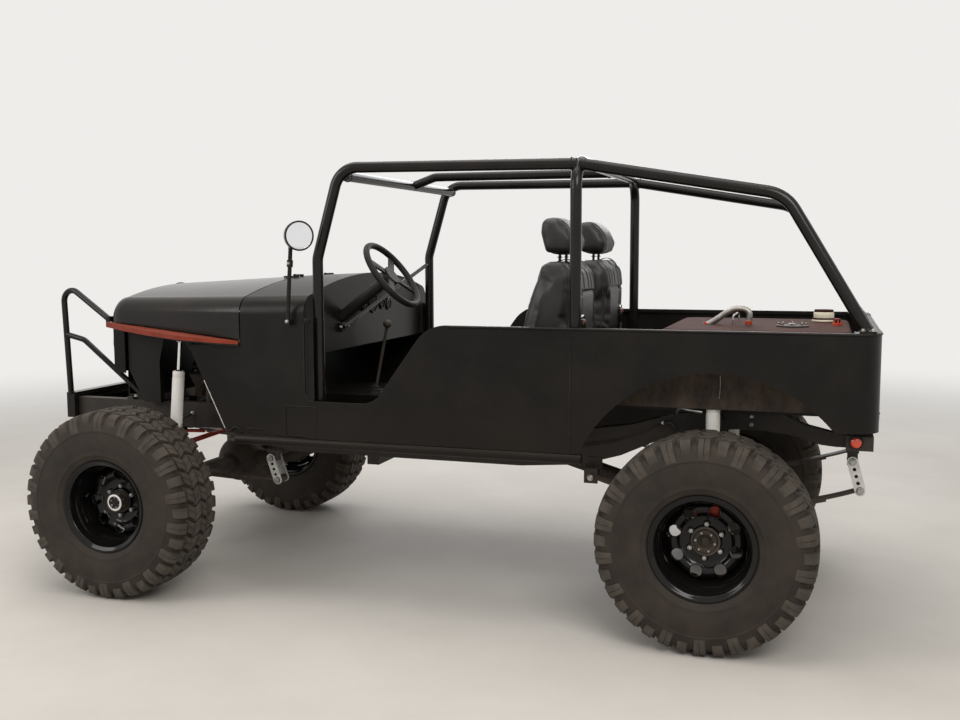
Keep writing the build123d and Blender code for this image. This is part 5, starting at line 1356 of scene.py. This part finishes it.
def leaf_clip(shape, x, z, tilt):
    """Strap down both sides and under the leaves."""
    spot = Vector((x, SPRING_Y, z))
    for low, high in CLIP:
        shape.block(spot + Vector(low), spot + Vector(high), 0.8, turn=tilt, pivot=spot)


def build_spring_trim():
    for end, (axle, fixed, pivot, eye) in SPRINGS.items():
        shape = Shape("zinc")
        for x in (axle - U_BOLT_X, axle + U_BOLT_X):
            for y in (SPRING_Y - U_BOLT_Y, SPRING_Y + U_BOLT_Y):
                shape.bolt((x, y, PLATE_Z), UP, across=19, height=12)
        for (x, z), y in ((pivot, 505), (eye, 505), (fixed, 508)):
            shape.bolt((x, y, z), ACROSS, across=21, height=10)
        # Thin dark discs on the shackle plates: painted shade for the holes, which are not cut
        shape.use("dark")
        for share in SHACKLE_HOLE_SHADES:
            x, z = (a + (b - a) * share for a, b in zip(pivot, eye))
            shape.lathe([(0, 7.5), (0.9, 7.2), (0.9, TINY)], (x, SPRING_Y + SHACKLE_FACE, z), ACROSS, 24)
        for x, z in (pivot, eye):
            shape.lathe([(37, 15.5), (38.4, 15.2), (38.4, 11)], (x, SPRING_Y, z), ACROSS, 32)
        shape.use("spring")
        cx, cz, radius = arc_through(eye, (axle, LEAF_MID_Z), fixed)
        for share in (-CLIP_SHARE, CLIP_SHARE):
            x = axle + share * abs(fixed[0] - eye[0]) / 2
            z = cz - math.sqrt(radius ** 2 - (x - cx) ** 2)
            leaf_clip(shape, x, z, Matrix.Rotation(-math.atan2(x - cx, cz - z), 3, "Y"))
        shape.use("axle")
        shape.tube([(axle, SPRING_Y, 540), (axle, SPRING_Y, 547)], 9, sides=16)
        shape.mirror()
        shape.done(f"spring_trim_{end}")


# Brakes: lines along frame and axles, hoses and calipers
CALIPER = ((-AXLE_X - 53, 639, 519.5), (-AXLE_X + 53, 707, 578.5))
BRAKE_LINE_R = 2.6
FRAME_LINE = [
    (1040, 800), (860, 752), (700, 690), (200, 684), (-460, 690), (-700, 724), (-900, 760), (-1060, 820),
    (-1120, 856),
]
FRAME_LINE_Y = 422.8
LINE_CLIPS = [(620, 692), (320, 688), (0, 690), (-300, 692), (-600, 712)]
REAR_HOSE = [(-1120, 424, 856), (-1165, 434, 850), (-1215, 380, 720), (-1262, 210, 560), (-1296, 120, 492)]
FRONT_HOSE = [(1238, 424, 790), (1262, 500, 760), (1300, 610, 690), (1320, 690, 610), (1330, 742, 548)]
AXLE_CLIPS_Y = (150, 300, 560)
AXLE_LINE = [(-1300, 90, 482), (-1296, 200, 480), (-1298, 420, 481), (-1302, 560, 486), (-1304, 632, 520)]


def build_brakes():
    shape = Shape("link")
    shape.block(*CALIPER, 7)
    shape.mirror()
    shape.use("steel")
    for way in WAYS:
        shape.tube(sided(AXLE_LINE, way), BRAKE_LINE_R, sides=8, smooth=5)
        for y in AXLE_CLIPS_Y:
            shape.block((-1304, way * y - 6, 474), (-1292, way * y + 6, 484), 1)
    shape.use("axle")
    for dy, dz in ((0, 0), (0.5, 9)):
        shape.tube([(x, FRAME_LINE_Y + dy, z + dz) for x, z in FRAME_LINE], BRAKE_LINE_R, sides=8, smooth=5)
    shape.use("zinc")
    for x, z in LINE_CLIPS:
        shape.block((x - 8, 419, z - 5), (x + 8, 427, z + 19), 1.2)
        shape.bolt((x, 427, z + 14), ACROSS, across=8, height=4, washer=False)
    shape.use("hose")
    shape.tube(REAR_HOSE, BRAKE_HOSE_R, smooth=8)
    for way in WAYS:
        shape.tube(sided(FRONT_HOSE, way), BRAKE_HOSE_R, smooth=8)
    shape.use("alloy")
    shape.bolt((-1120, 420, 856), ACROSS, across=14, height=9)
    for way in WAYS:
        shape.bolt((1238, way * 420, 790), (0, way, 0), across=14, height=9)
    shape.done("brake_parts")


# Front end: welds, bolts and the second red bar
HOOP_WELDS = [((1946, 452, 873), UP, 3), ((1951, 463, 1170), BACK_WAY, 2.6)]
HOOP_R = 15
BUMPER_FACE, BUMPER_HEAD_Y, BUMPER_HEADS_Z = 1972, 395, (772, 842)
FLUSH_HEAD = [(-8, 11), (-2.5, 11), (-0.4, 9), (-0.1, TINY)]
BODY_MOUNTS = [(1575, 410, 859), (1525, 410, 859)]
FENDER_BOLTS = [(1600, 520, 1240), (1630, 520, 1242), (790, 690, 1190.5), (790, 650, 1190.5)]
KNUCKLE_CAP = (AXLE_X, 735, 533)
RED_BAR = [(1335, 352, 686), (1216, 352, 690)]


def build_front_trim():
    shape = Shape("gloss")
    for way in WAYS:
        shape.use("gloss")
        for (x, y, z), axis, size in HOOP_WELDS:
            weld_ring(shape, (x, way * y, z), axis, HOOP_R, size)
        shape.use("zinc")
        for spot in sided(BODY_MOUNTS, way):
            shape.bolt(spot, UP, across=19, height=11)
        for z in BUMPER_HEADS_Z:
            shape.lathe(FLUSH_HEAD, (BUMPER_FACE, way * BUMPER_HEAD_Y, z), AHEAD, 28)
        for spot in sided(FENDER_BOLTS, way):
            shape.bolt(spot, UP, across=12, height=6)
        x, y, z = KNUCKLE_CAP
        shape.use("axle")
        shape.block((1302, way * 712, z - 6), (1372, way * 758, z), 2)
        shape.use("zinc")
        for dx in (-16, 16):
            for dy in (-13, 13):
                shape.bolt((x + dx, way * y + dy, z), UP, across=11, height=6)
    shape.use("link")
    shape.tube(RED_BAR, 9, sides=20)
    shape.done("front_trim")


# Engine: rocker covers, headers, air cleaner, pulleys with belt, and coolant hoses
BANK_ANGLE = 38
BANK_Y, BANK_X, BANK_Z = 140, 1140, 960
# half length, half width, lowest and highest z of the rocker cover's flange and dome, with their rounding
COVER_STEPS = [((230, 60, 1018, 1030), 3), ((222, 50, 1028, 1062), 14)]
COVER_BOLTS, COVER_BOLT_Y, COVER_FLANGE = (940, 1073, 1207, 1340), 54, 70
FIRST_PORT, PORT_PITCH, PORT_Y, PORT_Z, PIPE_R = 955, 115, 190, 905, 19
COLLECTOR, COLLECTOR_R = [(892, 244, 716), (800, 238, 702), (770, 238, 700)], 34
CLEANER = (1145, 0, 1150)
PLEATS = 180
# height of each pulley, its radius, the belt's radius on it, and the arc that the belt covers in degrees
PULLEYS = [(730, 84, 76, 188, 352), (880, 62, 54, -8, 188)]
ALTERNATOR = (1322, -205, 905)
COOLANT_HOSES = [
    [(1330, 70, 1070), (1390, 90, 1120), (1450, 150, 1190), (1522, 190, 1222)],
    [(1410, -70, 830), (1450, -140, 850), (1480, -210, 900), (1524, -230, 915)],
]
HOSE_CLAMPS = [
    ((1342, 74, 1081), (0.7, 0.25, 0.6)), ((1512, 187, 1216), (0.8, 0.4, 0.35)),
    ((1418, -84, 834), (0.5, -0.8, 0.2)), ((1514, -227, 911), (0.9, -0.4, 0.3)),
]


def engine_bank(shape, way):
    """Rocker cover with its bolts, four exhaust pipes and their collector."""
    turn = Matrix.Rotation(math.radians(-BANK_ANGLE * way), 3, "X")
    y = way * BANK_Y
    middle = (BANK_X, y, BANK_Z)
    shape.use("dark")
    for (length, width, low, high), bevel in COVER_STEPS:
        shape.block((BANK_X - length, y - width, low), (BANK_X + length, y + width, high), bevel, turn=turn,
                    pivot=middle)
    shape.use("zinc")
    for x in COVER_BOLTS:
        for dy in (-COVER_BOLT_Y, COVER_BOLT_Y):
            spot = turn @ Vector((0, dy, COVER_FLANGE)) + Vector((x, y, BANK_Z))
            shape.bolt(spot, turn @ Vector(UP), across=11, height=6)
    shape.use("rust")
    y = way * PORT_Y
    for n in range(4):
        x = FIRST_PORT + PORT_PITCH * n
        odd = n % 2
        pipe = [(x, PORT_Y, PORT_Z), (x - 6, 235, 884), (x - 30, 262, 838),
                (930 + 14 * n, 262 - 14 * odd, 770), (880, 250 - 16 * odd, 722 - 14 * (n // 2))]
        shape.tube(sided(pipe, way), PIPE_R, sides=16, smooth=6)
        shape.block((x - 34, y - 8, PORT_Z - 25), (x + 34, y + 8, PORT_Z + 27), 4, turn=turn,
                    pivot=(x, y, PORT_Z))
    collector = sided(COLLECTOR, way)
    shape.tube(collector, COLLECTOR_R, sides=24, smooth=4)
    shape.lathe([(-4, TINY), (-4, 52), (4, 52), (4, TINY)], collector[-1], AHEAD, 32)


def air_cleaner(shape):
    """Pleated ring between a bright base and lid."""
    x, y, top = CLEANER
    shape.use("cream")
    rows = []
    for z in (top - 48, top - 12):
        row = []
        for k, a in enumerate(turns(PLEATS)):
            r = 151.5 + 3.5 * (k % 2)
            row.append((x + r * math.cos(a), y + r * math.sin(a), z))
        rows.append(row)
    shape.grid(rows, wrap_points=True)
    shape.use("chrome")
    shape.lathe([(-14, 150), (-12, 158), (-9, 160), (-4, 158), (2, 148), (4, 120), (7, 60), (9, 24),
                 (9, TINY)], CLEANER, UP, 96)
    shape.lathe([(-50, 150), (-50, 158), (-47, 160), (-44, 158), (-44, 150)], CLEANER, UP, 96)
    shape.bolt((x, y, top + 9), UP, across=22, height=9)


def belt_drive(shape):
    """Two pulleys, the alternator and the belt."""
    shape.use("alloy")
    for z, r, _, _, _ in PULLEYS:
        shape.lathe([(0, TINY), (0, r - 6), (2, r), (6, r), (10, r - 11), (14, r), (18, r), (20, r - 6),
                     (20, 26), (14, 20), (14, TINY)], (1416, 0, z), AHEAD, 64)
    shape.lathe([(0, TINY), (0, 50), (8, 58), (70, 58), (78, 50), (80, 34), (92, 34), (94, 30), (104, 30),
                 (106, 10), (106, TINY)], ALTERNATOR, AHEAD, 48)
    shape.use("rubber")
    loop = []
    for z, _, r, start, end in PULLEYS:
        for k in range(17):
            a = math.radians(start + (end - start) * k / 16)
            loop.append([(x, r * math.cos(a), z + r * math.sin(a)) for x in (1420, 1432)])
    shape.sheet(loop + [loop[0]], 5)


def build_engine_trim():
    shape = Shape("dark")
    for way in WAYS:
        engine_bank(shape, way)
    air_cleaner(shape)
    belt_drive(shape)
    shape.use("hose")
    for route in COOLANT_HOSES:
        shape.tube(route, 21, sides=20, smooth=6)
    shape.use("zinc")
    for spot, axis in HOSE_CLAMPS:
        shape.lathe([(-6, 21.2), (-6, 23.2), (6, 23.2), (6, 21.2)], spot, axis, 40)
    shape.done("engine_parts")


# Cab: pedals, lever boots and gauges
# middle y, half width and middle z of each pedal
PEDALS = [(300, 24, 905), (400, 30, 930), (495, 30, 930)]
PEDAL_TILT = 28
# place and radius of each boot
BOOTS = [((420, 20, 850), 58), ((160, -120, 830), 44)]
# y, z and radius of each gauge
GAUGES = [(0, 1335, 48), (-112, 1330, 29), (112, 1330, 29), (-196, 1322, 29)]
DASH_X = 430


def build_pedals(shape):
    tilt = Matrix.Rotation(math.radians(PEDAL_TILT), 3, "Y")
    for y, half, z in PEDALS:
        shape.block((636, y - half, z - 38), (648, y + half, z + 38), 4, turn=tilt)
        for n in range(5):
            low = z - 27 + 12 * n
            shape.block((632, y - half + 4, low), (637, y + half - 4, low + 4), 1, turn=tilt,
                        pivot=(642, y, z))
        shape.tube([(646, y, z), (676, y, z + 60), (700, y, 1120), (712, y, 1190)], 8, smooth=5)
    shape.block((700, 262, 1176), (738, 530, 1206), 5)


def build_gauges(shape):
    """Bezel, face, marks and needle of each gauge, look by look."""
    shape.use("gloss")
    for y, z, r in GAUGES:
        bezel = [(0, r + 5), (5, r + 5), (8, r + 1), (8, r - 2), (3, r - 3)]
        shape.lathe(bezel, (DASH_X, y, z), BACK_WAY, 56)
    shape.use("dark")
    for y, z, r in GAUGES:
        shape.lathe([(3, r - 2), (3, TINY)], (DASH_X, y, z), BACK_WAY, 48)
    shape.use("white")
    for y, z, r in GAUGES:
        for k in range(9):
            a = math.radians(-30 + 30 * k)
            mark = [(DASH_X - 3.4, y + s * math.cos(a), z + s * math.sin(a)) for s in (r - 6, r - 12)]
            shape.tube(mark, 0.9, sides=6)
    shape.use("red")
    for y, z, r in GAUGES:
        shape.tube([(DASH_X - 4, y, z), (DASH_X - 4, y + (r - 12) * 0.8, z + (r - 12) * 0.5)], 1.1, sides=6)


def build_cab_trim():
    shape = Shape("dark")
    build_pedals(shape)
    for spot, r in BOOTS:
        shape.lathe([(30, r), (33, r - 2), (36, r * 0.72), (44, r * 0.70), (48, r * 0.46), (56, r * 0.45),
                     (60, r * 0.26), (72, r * 0.2)], spot, (-0.05, 0, 1), 40)
    build_gauges(shape)
    shape.use("zinc")
    for y in (330, 414):
        shape.bolt((412, y, 1240), BACK_WAY, across=11, height=6)
    shape.done("cab_parts")


build_camera()
build_studio()
build_floor()
dress_nodes()
build_wheels()
build_shocks()
build_wire_tie()
build_seats()
build_belts()
build_lamps()
build_mirror_glass()
build_radiator()
build_cell_top()
build_body_trim()
build_cage_trim()
build_wheelhouses()
build_spring_trim()
build_brakes()
build_front_trim()
build_engine_trim()
build_cab_trim()
